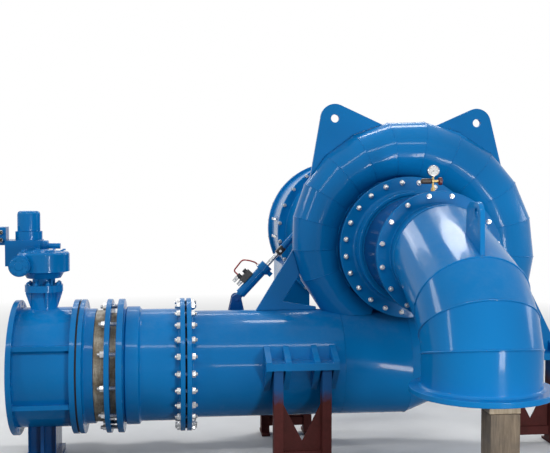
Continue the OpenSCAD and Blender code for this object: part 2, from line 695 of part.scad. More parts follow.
// Step between the plates of neighbouring segments at a mitre, where the weld bead lies
bend_lap = 1;
function pipe_r_at(k) = bend_r - (k % 2 == 0 ? bend_lap : 0);
function bend_profile(r1, r2, before, l, after) = r1 == r2
  ? [[0, -before], [r1, -before], [r1, l + after], [0, l + after]]
  : [[0, -before], [r1, -before], [r1, bend_over], [r2, l - bend_over], [r2, l + after], [0, l + after]];
module draft_bend() color(blue) on_axis() difference() {
  union() {
    translate([0, 0, neck_y]) cylinder(r = neck_flange_r, h = neck_flange_t);
    bend_segment(0, bend_profile(neck_r, neck_r, 0, bend_l(0), bend_over));
    bend_segment(1, bend_profile(neck_r + bend_lap, bend_r, bend_over, bend_l(1), bend_over));
    for (k = [2 : 4])
      bend_segment(k, bend_profile(pipe_r_at(k), pipe_r_at(k), bend_over, bend_l(k),
        k < 4 ? bend_over : -collar_t / 2));
    bend_at(bend_points[5], 90) translate([0, 0, -collar_t]) cylinder(r = collar_r, h = collar_t);
    bend_lug();
  }
  bend_at(bend_points[5], 90) translate([0, 0, -outlet_depth])
    cylinder(r = outlet_bore_r, h = outlet_depth + eps);
}
// Lifting lug in the bend's own plane, on top of the long segment
lug_t_bend = 26;
lug_hole_r = 25;
module bend_lug() rotate([0, -90, 0]) linear_extrude(lug_t_bend, center = true) difference() {
  polygon([[1480, 130], [1500, 290], [1560, 325], [1670, 325], [1725, 280], [1730, 36], [1600, 20]]);
  translate([1655, 268]) circle(r = lug_hole_r);
}

// Timber block and loose plank under the front of the outlet collar
module timber_block() color(timber) set_frame() translate([-2, -front_y + timber_w / 2 + 4, 0])
  centred_box(timber_w, timber_w, outlet_h - shim_t);
module timber_plank() color(plank) set_frame() translate([0, -front_y + timber_w / 2 + 10, outlet_h - shim_t])
  centred_box(timber_w * 1.05, timber_w * 0.9, shim_t);

// Pressure gauge on its stem, with the cock and two handles
gauge_base = sqrt(pow(neck_flange_r, 2) - pow(gauge_left + gauge_boss_r, 2)) - 2;
module pressure_gauge() color(bare_steel) on_axis() difference() {
  translate([-gauge_left, gauge_base, neck_y - neck_flange_t / 2]) union() {
    rotate([-90, 0, 0]) cylinder(r = gauge_boss_r / 2, h = gauge_h);
    rotate([-90, 0, 0]) cylinder(r = gauge_boss_r, h = 22);
    translate([0, gauge_h, -14]) cylinder(r = gauge_r, h = 30);
    translate([-74, 62, 0]) rotate([0, 90, 0]) cylinder(r = 17, h = 70);
    translate([0, 62, 0]) rotate([0, 90, 0]) cylinder(r = 9, h = 34);
    translate([34, 62, 0]) rotate([0, 90, 0]) cylinder(r = 24, h = 20);
  }
  translate([0, 0, neck_y - neck_flange_t - eps]) cylinder(r = neck_flange_r + seat, h = 2 * neck_flange_t);
}

// Head cover behind the scroll: plate, guide rim, stem bosses, ribs and hub
module head_cover() color(deep_blue) behind(stay_half_w) difference() {
  union() {
    cylinder(r = cover_r, h = cover_t);
    tube(ring_in_r - seat, ring_in_r - 26, guide_back - stay_half_w);
    for (i = [0 : vanes - 1]) rotate([0, 0, i * 360 / vanes]) {
      translate([stem_circle_r, 0, 0]) cylinder(r = vane_stem_r + 14, h = ring_back - stay_half_w);
      rotate([0, 0, 180 / vanes]) translate([hub_r - 10, -7, 0])
        cube([stem_circle_r - hub_r + 40, 14, cover_t + 40]);
    }
    cylinder(r = hub_r, h = cover_t + hub_len);
  }
  for (i = [0 : vanes - 1]) rotate([0, 0, i * 360 / vanes])
    translate([stem_circle_r, 0, cover_t - 5]) cylinder(r = vane_stem_r + seat, h = 200);
  translate([0, 0, cover_t]) cylinder(r = shaft_r + 6, h = hub_len + eps);
}

// Regulating ring with its driving pins and the lug for the servomotor
module regulating_ring() color(blue) union() {
  behind(ring_front) difference() {
    union() {
      cylinder(r = ring_out_r, h = ring_t);
      rotate([0, 0, lug_a]) translate([0, 0, 3]) ring_lug();
    }
    translate([0, 0, -eps]) cylinder(r = ring_in_r, h = ring_t + 2 * eps);
  }
  behind(ring_back - eps) for (i = [0 : vanes - 1]) rotate([0, 0, i * 360 / vanes])
    translate([pin_circle_r, 0, 0]) cylinder(r = ring_pin_r, h = arm_back - ring_back + 6);
  behind(ring_front + 12) rotate([0, 0, lug_a]) translate([lug_r, 0, 0])
    cylinder(r = lug_pin_r, h = servo_y + lug_t / 2 - 4 - ring_front);
}
lug_pin_r = 14;
module ring_lug() linear_extrude(ring_t - 6) {
  translate([lug_r, 0]) circle(r = 36);
  polygon([[ring_out_r - 40, -75], [lug_r, -30], [lug_r, 30], [ring_out_r - 40, 75]]);
}

// Guide vane arm: stem in its bush, round head and slotted arm over the ring pin
module vane_arm(i) color(bare_steel) behind(0) rotate([0, 0, i * 360 / vanes])
  translate([stem_circle_r, 0, 0]) union() {
  translate([0, 0, stay_half_w + cover_t])
    cylinder(r = vane_stem_r, h = arm_back - stay_half_w - cover_t + 14);
  translate([0, 0, arm_front]) difference() {
    union() {
      cylinder(r = vane_hub_r, h = arm_t);
      linear_extrude(arm_t) polygon([[0, -vane_hub_r + 4], [arm_len, -ring_pin_r - 13],
        [arm_len + 18, -ring_pin_r - 13],
          [arm_len + 18, ring_pin_r + 13], [arm_len, ring_pin_r + 13], [0, vane_hub_r - 4]]);
    }
    translate([arm_len - 20, -ring_pin_r - 1, -eps]) cube([60, 2 * ring_pin_r + 2, arm_t + 2 * eps]);
  }
}

// Servomotor bracket on the pipe: a saddle pad and two cheeks round the base pin
module servo_bracket() color(deep_blue) difference() {
  union() {
    for (s = [-1, 1]) set_frame() translate([0, servo_y + s * (servo_tube_r + 10), pipe_h]) rotate([90, 0, 0])
      linear_extrude(16, center = true) {
        polygon([[-servo_pin_x - cheek_w / 2, 60], [-servo_pin_x + cheek_w / 2, 60],
            [-servo_pin_x + 36, servo_pin_h], [-servo_pin_x - 36, servo_pin_h]]);
        translate([-servo_pin_x, servo_pin_h]) circle(r = 36);
      }
    set_frame() translate([-servo_pin_x, servo_y, pipe_h + 150])
      centred_box(cheek_w - 16, 2 * servo_tube_r + 20, 90);
    set_frame() translate([-servo_pin_x, servo_y + servo_tube_r + 26, pipe_h + servo_pin_h])
      rotate([90, 0, 0])
      cylinder(r = 15, h = 2 * servo_tube_r + 52);
  }
  on_pipe(flange_pair_x) cylinder(r = pipe_r + seat, h = flange_pair_x);
}
// Hydraulic cylinder with end eye, tube, gland and its side lug
module servo_cylinder() color(blue) on_servo() difference() {
  union() {
    translate([0, 0, -servo_tube_r + 4]) cylinder(r = 30, h = 2 * servo_tube_r - 8);
    rotate([0, 90, 0]) cylinder(r = servo_tube_r - 10, h = 60);
    translate([44, 0, 0]) rotate([0, 90, 0]) cylinder(r = servo_tube_r, h = servo_tube_l - 44);
    translate([servo_tube_l - gland_l, 0, 0]) rotate([0, 90, 0]) cylinder(r = gland_r, h = gland_l);
    translate([servo_tube_l - gland_l + 8, -gland_r - 26, -16]) cube([34, 60, 32]);
  }
  translate([0, 0, -100]) cylinder(r = 15 + seat, h = 200);
  translate([servo_tube_l - rod_bore_l, 0, 0]) rotate([0, 90, 0])
    cylinder(r = rod_r + seat, h = rod_bore_l + eps);
}
// Piston rod, yoke, link tube and the eye on the ring's lug pin
yoke_l = 66;
rod_bore_l = 2.5 * gland_l;
rod_start = servo_tube_l - 1.5 * gland_l;
yoke_s = servo_tube_l + rod_free;
eye_r = 34;
module servo_rod() color(bare_steel) on_servo() difference() {
  union() {
    translate([rod_start, 0, 0]) rotate([0, 90, 0]) cylinder(r = rod_r, h = yoke_s - rod_start + 10);
    translate([yoke_s, -24, -24]) cube([yoke_l, 48, 48]);
    translate([yoke_s + yoke_l - eps, 0, 0]) rotate([0, 90, 0])
      cylinder(r = link_r, h = servo_l - yoke_s - yoke_l - eye_r + 10);
    translate([servo_l, 0, -lug_t / 2]) cylinder(r = eye_r, h = lug_t);
  }
  translate([servo_l, 0, -lug_t]) cylinder(r = lug_pin_r + 2.5, h = 2 * lug_t);
}
// Valve block on the cylinder with its short pressure pipe
module servo_manifold() color(dark) on_servo() translate([servo_tube_l * 0.5, servo_tube_r + seat, 0])
  union() {
  translate([-46, 0, -26]) cube([96, 44, 52]);
  translate([-30, 43, 0]) rotate([-90, 0, 0]) cylinder(r = 16, h = 30);
  translate([24, 43, 0]) rotate([-90, 0, 0]) cylinder(r = 16, h = 22);
}

// Shaft line from the head cover to the generator
module main_shaft() color(bare_steel) behind(stay_half_w + cover_t) union() {
  cylinder(r = shaft_r, h = frame_y - hood_len + hood_recess - stay_half_w - cover_t - seat);
  translate([0, 0, coupling_y - stay_half_w - cover_t - 60]) cylinder(r = coupling_r, h = 120);
  translate([0, 0, hub_len + 30]) cylinder(r = shaft_r + 28, h = 26);
}
// Bearing housing on its floor pedestal
module bearing_pedestal() color(blue) difference() {
  union() {
    behind(pedestal_y) cylinder(r = 165, h = 240);
    set_frame() translate([0, pedestal_y + 120, 30]) centred_box(430, 200, axis_h - 30 - 60);
    set_frame() translate([0, pedestal_y + 120, 0]) centred_box(620, 380, 40);
    set_frame() for (s = [-1, 1]) translate([s * 260, pedestal_y + 120, 0]) rotate([90, 0, 0])
      linear_extrude(24, center = true) polygon([[-s * 60, 39], [s * 45, 39], [-s * 60, 700]]);
  }
  behind(pedestal_y - eps) cylinder(r = shaft_r + seat, h = 300);
}

// Generator: frame with end flanges, feet and a side hatch, hood, rear shield and base
module generator_frame() color(blue) union() {
  behind(frame_y) cylinder(r = frame_r, h = frame_len);
  behind(frame_y) cylinder(r = frame_flange_r, h = 34);
  behind(frame_y + frame_len - 34) cylinder(r = frame_flange_r, h = 34);
  set_frame() for (s = [-1, 1]) translate([s * foot_block_x, frame_y + frame_len / 2, base_h])
    centred_box(foot_block_w, frame_len - 120, axis_h - base_h - 300);
  set_frame() translate([-frame_r - 14, frame_y + 110, axis_h - 70]) cube([140, 300, 200]);
}
module generator_hood() color(blue) behind(frame_y - hood_len) difference() {
  union() {
    cylinder(r1 = hood_nose_r - 30, r2 = hood_nose_r, h = 40);
    translate([0, 0, 40]) cylinder(r1 = hood_nose_r, r2 = hood_r, h = hood_len - 75);
    translate([0, 0, hood_len - 36]) cylinder(r = frame_flange_r, h = 36);
  }
  translate([0, 0, -eps]) cylinder(r = shaft_r + 8, h = hood_recess + eps);
}
module generator_rear_shield() color(deep_blue) behind(frame_y + frame_len) union() {
  cylinder(r = frame_flange_r, h = 34);
  cylinder(r1 = frame_r - 20, r2 = frame_r - 120, h = rear_len);
  translate([0, 0, rear_len - eps]) cylinder(r = 190, h = 130 + eps);
}
module generator_base() color(blue) set_frame() for (s = [-1, 1])
  translate([s * foot_block_x, frame_y + frame_len / 2, 0]) union() {
    centred_box(foot_block_w + 80, frame_len + 60, 34);
    centred_box(60, frame_len - 60, base_h);
    translate([0, 0, base_h - 34]) centred_box(foot_block_w + 30, frame_len - 60, 34);
    for (k = [-1, 0, 1]) translate([0, k * (frame_len / 2 - 80), 0])
      centred_box(foot_block_w - 10, 26, base_h - 10);
  }

valve_body();
valve_disc();
valve_foot();
gear_mount();
worm_gearbox();
actuator_body();
actuator_motor();
actuator_terminal_box();
joint_spigot();
joint_band();
joint_gland_ring();
joint_tie_rods();
spool_pipe();
inlet_pipe();
inlet_brackets();
inlet_stands();
scroll_foot();
scroll_stand();
scroll_case();
scroll_nose();
stay_ring();
lifting_ears();
scroll_brace();
draft_cover();
draft_cone();
draft_bend();
timber_block();
timber_plank();
pressure_gauge();
head_cover();
regulating_ring();
servo_bracket();
servo_cylinder();
servo_rod();
servo_manifold();
main_shaft();
bearing_pedestal();
generator_frame();
generator_hood();
generator_rear_shield();
generator_base();
for (i = [0 : vanes - 1]) vane_arm(i);
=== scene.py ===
import math

import bmesh
import bpy
from mathutils import Matrix, Vector


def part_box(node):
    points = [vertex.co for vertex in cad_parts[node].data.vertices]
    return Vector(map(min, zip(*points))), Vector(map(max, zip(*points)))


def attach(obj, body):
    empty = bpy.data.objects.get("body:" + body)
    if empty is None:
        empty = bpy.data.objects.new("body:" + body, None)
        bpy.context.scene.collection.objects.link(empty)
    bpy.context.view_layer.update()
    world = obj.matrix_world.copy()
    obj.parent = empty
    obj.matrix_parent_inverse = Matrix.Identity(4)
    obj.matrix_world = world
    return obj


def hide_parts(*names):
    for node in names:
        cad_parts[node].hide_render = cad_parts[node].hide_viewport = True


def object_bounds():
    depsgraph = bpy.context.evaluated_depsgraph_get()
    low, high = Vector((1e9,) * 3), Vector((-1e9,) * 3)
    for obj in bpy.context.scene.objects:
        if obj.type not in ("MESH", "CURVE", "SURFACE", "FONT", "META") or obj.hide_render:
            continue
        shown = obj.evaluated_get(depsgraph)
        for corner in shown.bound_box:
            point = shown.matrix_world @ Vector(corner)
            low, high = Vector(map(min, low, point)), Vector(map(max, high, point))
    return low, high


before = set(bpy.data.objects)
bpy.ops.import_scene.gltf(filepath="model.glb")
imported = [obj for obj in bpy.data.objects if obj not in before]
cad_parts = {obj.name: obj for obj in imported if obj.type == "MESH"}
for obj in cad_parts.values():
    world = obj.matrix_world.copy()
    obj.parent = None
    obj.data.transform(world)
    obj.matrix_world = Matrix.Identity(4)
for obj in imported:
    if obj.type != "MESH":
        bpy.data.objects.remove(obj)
cad_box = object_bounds()

# Reference places, all read from the frame
stay_lo, stay_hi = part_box("stay_ring")
pipe_lo, pipe_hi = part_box("inlet_pipe")
AXIS = (stay_lo + stay_hi) / 2
AXIS_X, MID_Y, AXIS_Z = AXIS
PIPE_Z = (pipe_lo.z + pipe_hi.z) / 2
FIXED = "set"

# Directions: the inlet pipe runs along X, the draft side faces -Y
RIGHT = Vector((1, 0, 0))
REAR = Vector((0, 1, 0))
UP = Vector((0, 0, 1))


def placed(origin, out, across):
    """Matrix with local Z along out and local X along across."""
    z = Vector(out).normalized()
    x = Vector(across).normalized()
    return Matrix.Translation(origin) @ Matrix((x, z.cross(x), z)).transposed().to_4x4()


def draft_side(toward, x=0.0, up=0.0):
    """Local Z towards the draft side, from the middle of the turbine."""
    return placed(AXIS + Vector((x, -toward, up)), -REAR, RIGHT)


def rear_side(back, x=0.0, up=0.0):
    """Local Z to the rear, from the middle of the turbine."""
    return placed(AXIS + Vector((x, back, up)), REAR, -RIGHT)


def along_pipe(x):
    """Local Z along the inlet pipe towards the scroll, starting at row X."""
    return placed(Vector((x, MID_Y, PIPE_Z)), RIGHT, -UP)


# Mesh making
SHARP_ANGLE = math.radians(40)


def mesh_from(bm, name, recalculate=True):
    """Plain mesh with smooth faces and sharp edges where the surface turns a corner."""
    if recalculate:
        bmesh.ops.recalc_face_normals(bm, faces=bm.faces)
    for face in bm.faces:
        face.smooth = True
    for edge in bm.edges:
        if edge.is_manifold and edge.calc_face_angle() > SHARP_ANGLE:
            edge.smooth = False
    mesh = bpy.data.meshes.new(name)
    bm.to_mesh(mesh)
    bm.free()
    return mesh


def piece(name, mesh, material, *stands_for, body=FIXED, slot=None):
    """Object at the origin that rides on a body, with its material. The slot argument is not used."""
    mesh.materials.clear()
    mesh.materials.append(material)
    obj = bpy.data.objects.new(name, mesh)
    bpy.context.collection.objects.link(obj)
    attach(obj, body)
    if stands_for:
        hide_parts(*stands_for)
    return obj


def joined(name, meshes):
    """One mesh from several."""
    bm = bmesh.new()
    for mesh in meshes:
        bm.from_mesh(mesh)
    whole = bpy.data.meshes.new(name)
    bm.to_mesh(whole)
    bm.free()
    for mesh in meshes:
        bpy.data.meshes.remove(mesh)
    return whole


def rounded(points, radius, steps=3):
    """Profile with its inner corners rounded, and a holding point on each side of a corner."""
    out = [Vector(points[0])]
    for before, here, after in zip(points, points[1:], points[2:]):
        here, to_before, to_after = Vector(here), Vector(before) - Vector(here), Vector(after) - Vector(here)
        cut = min(radius, 0.4 * to_before.length, 0.4 * to_after.length)
        first = here + to_before.normalized() * cut
        last = here + to_after.normalized() * cut
        out.append(first + to_before.normalized() * cut * 0.4)
        for i in range(steps + 1):
            t = i / steps
            out.append(first * (1 - t) ** 2 + here * 2 * t * (1 - t) + last * t ** 2)
        out.append(last + to_after.normalized() * cut * 0.4)
    out.append(Vector(points[-1]))
    return out


def lathe(name, profile, place, turns=96, radius=0.003, closed=False):
    """Surface of revolution round local Z from points (radius, height), with rounded corners."""
    if closed:
        line = rounded([profile[-1]] + list(profile) + [profile[0]], radius)[1:-1]
    elif radius:
        line = rounded(profile, radius)
    else:
        line = profile
    bm = bmesh.new()
    rings = []
    for r, z in line:
        if r < 1e-6:
            rings.append([bm.verts.new((0, 0, z))] * turns)
        else:
            rings.append([bm.verts.new((r * math.cos(a), r * math.sin(a), z))
                          for a in (2 * math.pi * k / turns for k in range(turns))])
    pairs = list(zip(rings, rings[1:])) + ([(rings[-1], rings[0])] if closed else [])
    for low, high in pairs:
        for k in range(turns):
            m = (k + 1) % turns
            corners = list(dict.fromkeys([low[k], low[m], high[m], high[k]]))
            if len(corners) > 2:
                bm.faces.new(corners)
    bm.transform(place)
    return mesh_from(bm, name)


def drum(r, low, high):
    """Profile of a solid cylinder."""
    return [(0, low), (r, low), (r, high), (0, high)]


def hoop(inner, outer, low, high):
    """Closed profile of a ring."""
    return [(inner, low), (outer, low), (outer, high), (inner, high)]


def skin(name, rings, sharp):
    """Closed surface through rings of points. The edges of the rings listed in sharp stay sharp."""
    bm = bmesh.new()
    rows = [[bm.verts.new(p) for p in ring] for ring in rings]
    count = len(rows[0])
    for low, high in zip(rows, rows[1:]):
        for k in range(count):
            m = (k + 1) % count
            bm.faces.new((low[k], low[m], high[m], high[k]))
    bm.faces.new(list(reversed(rows[0])))
    bm.faces.new(rows[-1])
    bmesh.ops.recalc_face_normals(bm, faces=bm.faces)
    for i in sharp:
        for k in range(count):
            bm.edges.get((rows[i][k], rows[i][(k + 1) % count])).smooth = False
    return mesh_from(bm, name, recalculate=False)


def evaluated_mesh(obj, name):
    """Plain mesh of an object with its modifiers, and the object is removed."""
    bpy.context.view_layer.update()
    ready = obj.evaluated_get(bpy.context.evaluated_depsgraph_get())
    mesh = bpy.data.meshes.new_from_object(ready)
    mesh.name = name
    old = obj.data
    bpy.data.objects.remove(obj)
    if isinstance(old, bpy.types.Mesh):
        bpy.data.meshes.remove(old)
    return mesh


BEVEL_ANGLE = math.radians(35)


def softened(node, name, width):
    """Copy of a CAD node's mesh with its edges broken as a fettler would leave them."""
    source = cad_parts[node].data
    bm = bmesh.new()
    bm.from_mesh(source)
    bmesh.ops.remove_doubles(bm, verts=bm.verts, dist=0.00004)
    bmesh.ops.dissolve_limit(bm, angle_limit=math.radians(0.6), verts=bm.verts, edges=bm.edges)
    mesh = mesh_from(bm, name + "_raw", recalculate=False)
    obj = bpy.data.objects.new(name + "_raw", mesh)
    bpy.context.collection.objects.link(obj)
    bevel = obj.modifiers.new("Broken edges", "BEVEL")
    bevel.width = width
    bevel.segments = 3
    bevel.limit_method = "ANGLE"
    bevel.angle_limit = BEVEL_ANGLE
    bevel.miter_outer = "MITER_ARC"
    obj.modifiers.new("Flat faces", "WEIGHTED_NORMAL").keep_sharp = False
    for edge in mesh.edges:
        edge.use_edge_sharp = False
    return evaluated_mesh(obj, name)


def paint(node, material):
    """Finish for a node whose CAD mesh is shown as it is."""
    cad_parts[node].material_slots[0].material = material


def soft_piece(node, name, material, width, body=FIXED, slot=None):
    """CAD node with broken edges, shown in its own place."""
    return piece(name, softened(node, name, width), material, node, body=body, slot=slot)


PLATE_EDGE = 0.002


def cut_plate(outline, holes, thickness, place):
    """Flat plate cut to an outline with round holes and broken edges. Local Z is its thickness."""
    curve = bpy.data.curves.new("plate", "CURVE")
    curve.dimensions = "2D"
    curve.fill_mode = "BOTH"
    curve.extrude = thickness / 2 - PLATE_EDGE
    curve.bevel_depth = PLATE_EDGE
    curve.bevel_resolution = 1
    curve.offset = -PLATE_EDGE
    loops = [outline] + [[(x + r * math.cos(t), y + r * math.sin(t)) for t in
                          (2 * math.pi * k / 40 for k in range(40))] for x, y, r in holes]
    for loop in loops:
        spline = curve.splines.new("POLY")
        spline.points.add(len(loop) - 1)
        for point, (x, y) in zip(spline.points, loop):
            point.co = (x, y, 0, 1)
        spline.use_cyclic_u = True
    obj = bpy.data.objects.new("plate", curve)
    bpy.context.collection.objects.link(obj)
    mesh = evaluated_mesh(obj, "plate")
    bm = bmesh.new()
    bm.from_mesh(mesh)
    bpy.data.meshes.remove(mesh)
    bmesh.ops.remove_doubles(bm, verts=bm.verts, dist=0.00002)
    bm.transform(place)
    return mesh_from(bm, "plate")


def soft_box(length, width, depth, edge):
    """Box with broken edges, its length along local Z."""
    bm = bmesh.new()
    bmesh.ops.create_cube(bm, size=1.0, matrix=Matrix.Diagonal((width, depth, length, 1.0)))
    bmesh.ops.bevel(bm, geom=list(bm.edges), offset=edge, segments=3, profile=0.5, affect="EDGES")
    return mesh_from(bm, "box")


# Fasteners, by their width across the flats
M8, M12, M16, M18, M20, M24 = 0.013, 0.019, 0.024, 0.027, 0.030, 0.036
PIPE_NUT, PIPE_STUD_R = 0.038, 0.0125
STUD_PITCH, ROD_PITCH = 0.0035, 0.004


def hex_nut(across, height, washer=True, stud_r=0.0, stud_l=0.0, dome=0.0):
    """Hexagon head or nut on its washer, with the bolt's end standing out where stud_l is set."""
    parts = []
    base = 0.0
    if washer:
        base = height * 0.16
        parts.append(lathe("washer", drum(across * 0.62, 0, base), Matrix.Identity(4), 24, 0.0006))
    bm = bmesh.new()
    corner = across / math.sqrt(3)
    levels = [(corner, base), (corner, base + height * 0.86), (corner * 0.9, base + height)]
    if dome:
        levels.append((corner * 0.5, base + height + dome))
    rows = [[bm.verts.new((r * math.cos(a), r * math.sin(a), z))
             for a in (math.pi / 3 * k for k in range(6))] for r, z in levels]
    for low, high in zip(rows, rows[1:]):
        for k in range(6):
            bm.faces.new((low[k], low[(k + 1) % 6], high[(k + 1) % 6], high[k]))
    bm.faces.new(list(reversed(rows[0])))
    bm.faces.new(rows[-1])
    parts.append(mesh_from(bm, "hexagon"))
    if stud_l:
        top = base + height
        threads = max(2, round(stud_l / STUD_PITCH))
        line = [(0, top - height * 0.5), (stud_r, top - height * 0.5)]
        for k in range(threads):
            z = top + stud_l * k / threads
            line += [(stud_r, z), (stud_r * 0.88, z + stud_l * 0.5 / threads)]
        line += [(stud_r * 0.82, top + stud_l), (0, top + stud_l)]
        parts.append(lathe("stud", line, Matrix.Identity(4), 16, 0.0))
    return joined("fastener", parts)


def threaded_rod(radius, length):
    """Rod with thread crests along its whole length."""
    line = [(0, 0)]
    count = max(2, round(length / ROD_PITCH))
    for k in range(count):
        z = length * k / count
        line += [(radius * 0.9, z), (radius, z + length * 0.5 / count)]
    line += [(radius * 0.9, length), (0, length)]
    return lathe("thread", line, Matrix.Identity(4), 16, 0.0)


# Geometry Nodes trees for what repeats or follows a line
def new_tree(name, inputs):
    tree = bpy.data.node_groups.new(name, "GeometryNodeTree")
    tree.interface.new_socket("Geometry", in_out="INPUT", socket_type="NodeSocketGeometry")
    for label, kind, value in inputs:
        socket = tree.interface.new_socket(label, in_out="INPUT", socket_type=kind)
        if value is not None:
            socket.default_value = value
    tree.interface.new_socket("Geometry", in_out="OUTPUT", socket_type="NodeSocketGeometry")
    return tree, tree.nodes.new("NodeGroupInput"), tree.nodes.new("NodeGroupOutput")


def add_node(tree, kind, inputs, **settings):
    """New node. Each input, by name or number, is a plain value or another node's output."""
    node = tree.nodes.new(kind)
    for label, value in settings.items():
        setattr(node, label, value)
    for label, value in inputs.items():
        if isinstance(value, bpy.types.NodeSocket):
            tree.links.new(value, node.inputs[label])
        else:
            node.inputs[label].default_value = value
    return node


def math_node(tree, operation, a, b):
    """Result of a sum on two values, each a number or another node's output."""
    return add_node(tree, "ShaderNodeMath", {0: a, 1: b}, operation=operation).outputs[0]


def instances(tree, given, points, turn):
    """The given fastener at each point, each turned a little at random, then made real."""
    spin = add_node(tree, "FunctionNodeRandomValue", {3: math.pi / 3, "Seed": 7}, data_type="FLOAT")
    angle = add_node(tree, "ShaderNodeCombineXYZ", {"Z": math_node(tree, "ADD", turn, spin.outputs[1])})
    place = add_node(tree, "GeometryNodeInstanceOnPoints", {
        "Points": points, "Instance": given.outputs["Geometry"], "Rotation": angle.outputs[0]})
    return add_node(tree, "GeometryNodeRealizeInstances", {0: place.outputs[0]}).outputs[0]


def end_tree(tree, given, result, out):
    """Last nodes of each tree: the material, then the output."""
    paint = add_node(tree, "GeometryNodeSetMaterial", {
        "Geometry": result, "Material": given.outputs["Material"]})
    tree.links.new(paint.outputs[0], out.inputs[0])


def bolt_ring_tree():
    """Fasteners on a circle."""
    tree, given, out = new_tree("Bolt ring", [
        ("Count", "NodeSocketInt", 12), ("Circle Radius", "NodeSocketFloat", 0.1),
        ("First Turn", "NodeSocketFloat", 0.0), ("Material", "NodeSocketMaterial", None)])
    circle = add_node(tree, "GeometryNodeMeshCircle", {
        "Vertices": given.outputs["Count"], "Radius": given.outputs["Circle Radius"]})
    index = tree.nodes.new("GeometryNodeInputIndex")
    step = math_node(tree, "DIVIDE", 2 * math.pi, given.outputs["Count"])
    real = instances(tree, given, circle.outputs[0], math_node(tree, "MULTIPLY", index.outputs[0], step))
    first = add_node(tree, "ShaderNodeCombineXYZ", {"Z": given.outputs["First Turn"]})
    turned = add_node(tree, "GeometryNodeTransform", {"Geometry": real, "Rotation": first.outputs[0]})
    end_tree(tree, given, turned.outputs[0], out)
    return tree


def bolt_row_tree():
    """Fasteners in a row along local X."""
    tree, given, out = new_tree("Bolt row", [
        ("Count", "NodeSocketInt", 4), ("Spacing", "NodeSocketFloat", 0.1),
        ("Material", "NodeSocketMaterial", None)])
    offset = add_node(tree, "ShaderNodeCombineXYZ", {"X": given.outputs["Spacing"]})
    line = add_node(tree, "GeometryNodeMeshLine", {
        "Count": given.outputs["Count"], "Offset": offset.outputs[0]})
    index = tree.nodes.new("GeometryNodeInputIndex")
    real = instances(tree, given, line.outputs[0], math_node(tree, "MULTIPLY", index.outputs[0], 0.4))
    end_tree(tree, given, real, out)
    return tree


def bead_tree():
    """Rippled weld bead along the given line."""
    tree, given, out = new_tree("Weld bead", [
        ("Bead Radius", "NodeSocketFloat", 0.004), ("Step", "NodeSocketFloat", 0.006),
        ("Ripple", "NodeSocketFloat", 0.0008), ("Material", "NodeSocketMaterial", None)])
    curve = add_node(tree, "GeometryNodeMeshToCurve", {0: given.outputs["Geometry"]})
    resample = add_node(tree, "GeometryNodeResampleCurve", {
        "Curve": curve.outputs[0], "Length": given.outputs["Step"]}, mode="LENGTH")
    profile = add_node(tree, "GeometryNodeCurvePrimitiveCircle", {
        "Resolution": 8, "Radius": given.outputs["Bead Radius"]})
    tube = add_node(tree, "GeometryNodeCurveToMesh", {
        "Fill Caps": True, "Curve": resample.outputs[0], "Profile Curve": profile.outputs[0]})
    noise = add_node(tree, "ShaderNodeTexNoise", {"Scale": 110})
    height = math_node(tree, "MULTIPLY", math_node(tree, "SUBTRACT", noise.outputs[0], 0.5),
                       given.outputs["Ripple"])
    normal = tree.nodes.new("GeometryNodeInputNormal")
    push = add_node(tree, "ShaderNodeVectorMath", {0: normal.outputs[0], "Scale": height}, operation="SCALE")
    shift = add_node(tree, "GeometryNodeSetPosition", {
        "Geometry": tube.outputs[0], "Offset": push.outputs[0]})
    real = add_node(tree, "GeometryNodeRealizeInstances", {0: shift.outputs[0]})
    end_tree(tree, given, real.outputs[0], out)
    return tree


BOLT_RING = bolt_ring_tree()
BOLT_ROW = bolt_row_tree()
WELD_BEAD = bead_tree()


def grown(tree, base, place=None, **sizes):
    """Mesh that a tree makes from a base mesh, set in its place. Sizes are the tree's named inputs."""
    obj = bpy.data.objects.new("grown", base)
    bpy.context.collection.objects.link(obj)
    modifier = obj.modifiers.new(tree.name, "NODES")
    modifier.node_group = tree
    for item in tree.interface.items_tree:
        key = item.name.replace(" ", "_").lower()
        if item.item_type == "SOCKET" and item.in_out == "INPUT" and key in sizes:
            modifier[item.identifier] = sizes[key]
    mesh = evaluated_mesh(obj, tree.name)
    if place is not None:
        mesh.transform(place)
    return mesh


def bolts_on_circle(name, fastener, material, places, count, radius, first=None):
    """One piece with the same ring of fasteners at each place. They stand half a pitch off local X,
    as flanges are drilled, unless first gives the turn of the first one in degrees."""
    turn = math.radians(180 / count if first is None else first)
    rings = [grown(BOLT_RING, fastener.copy(), place, count=count, circle_radius=radius, first_turn=turn,
                   material=material) for place in places]
    bpy.data.meshes.remove(fastener)
    return piece(name, joined(name, rings), material)


def bolts_in_rows(name, fastener, material, rows):
    """One piece with rows of fasteners. Each row is (place, count, spacing)."""
    made = [grown(BOLT_ROW, fastener.copy(), place, count=count, spacing=spacing, material=material)
            for place, count, spacing in rows]
    bpy.data.meshes.remove(fastener)
    return piece(name, joined(name, made), material)


def line_mesh(points, closed=False):
    """Mesh of edges from point to point."""
    mesh = bpy.data.meshes.new("line")
    edges = [(i, i + 1) for i in range(len(points) - 1)]
    if closed:
        edges.append((len(points) - 1, 0))
    mesh.from_pydata([tuple(p) for p in points], edges, [])
    return mesh


def beads(name, lines, material, radius=0.004, step=0.007):
    """One piece with a weld bead along each line. A line is (points, closed)."""
    made = [grown(WELD_BEAD, line_mesh(points, closed), bead_radius=radius, step=step,
                  ripple=radius * 0.35, material=material) for points, closed in lines]
    mesh = joined(name, made)
    for polygon in mesh.polygons:
        polygon.use_smooth = True
    return piece(name, mesh, material)


def pipe_run(points, radius, material):
    """Mesh of a round pipe through the given points, with rounded corners."""
    return grown(WELD_BEAD, line_mesh(rounded(points, 0.02, 6)), bead_radius=radius, step=0.004, ripple=0.0,
                 material=material)


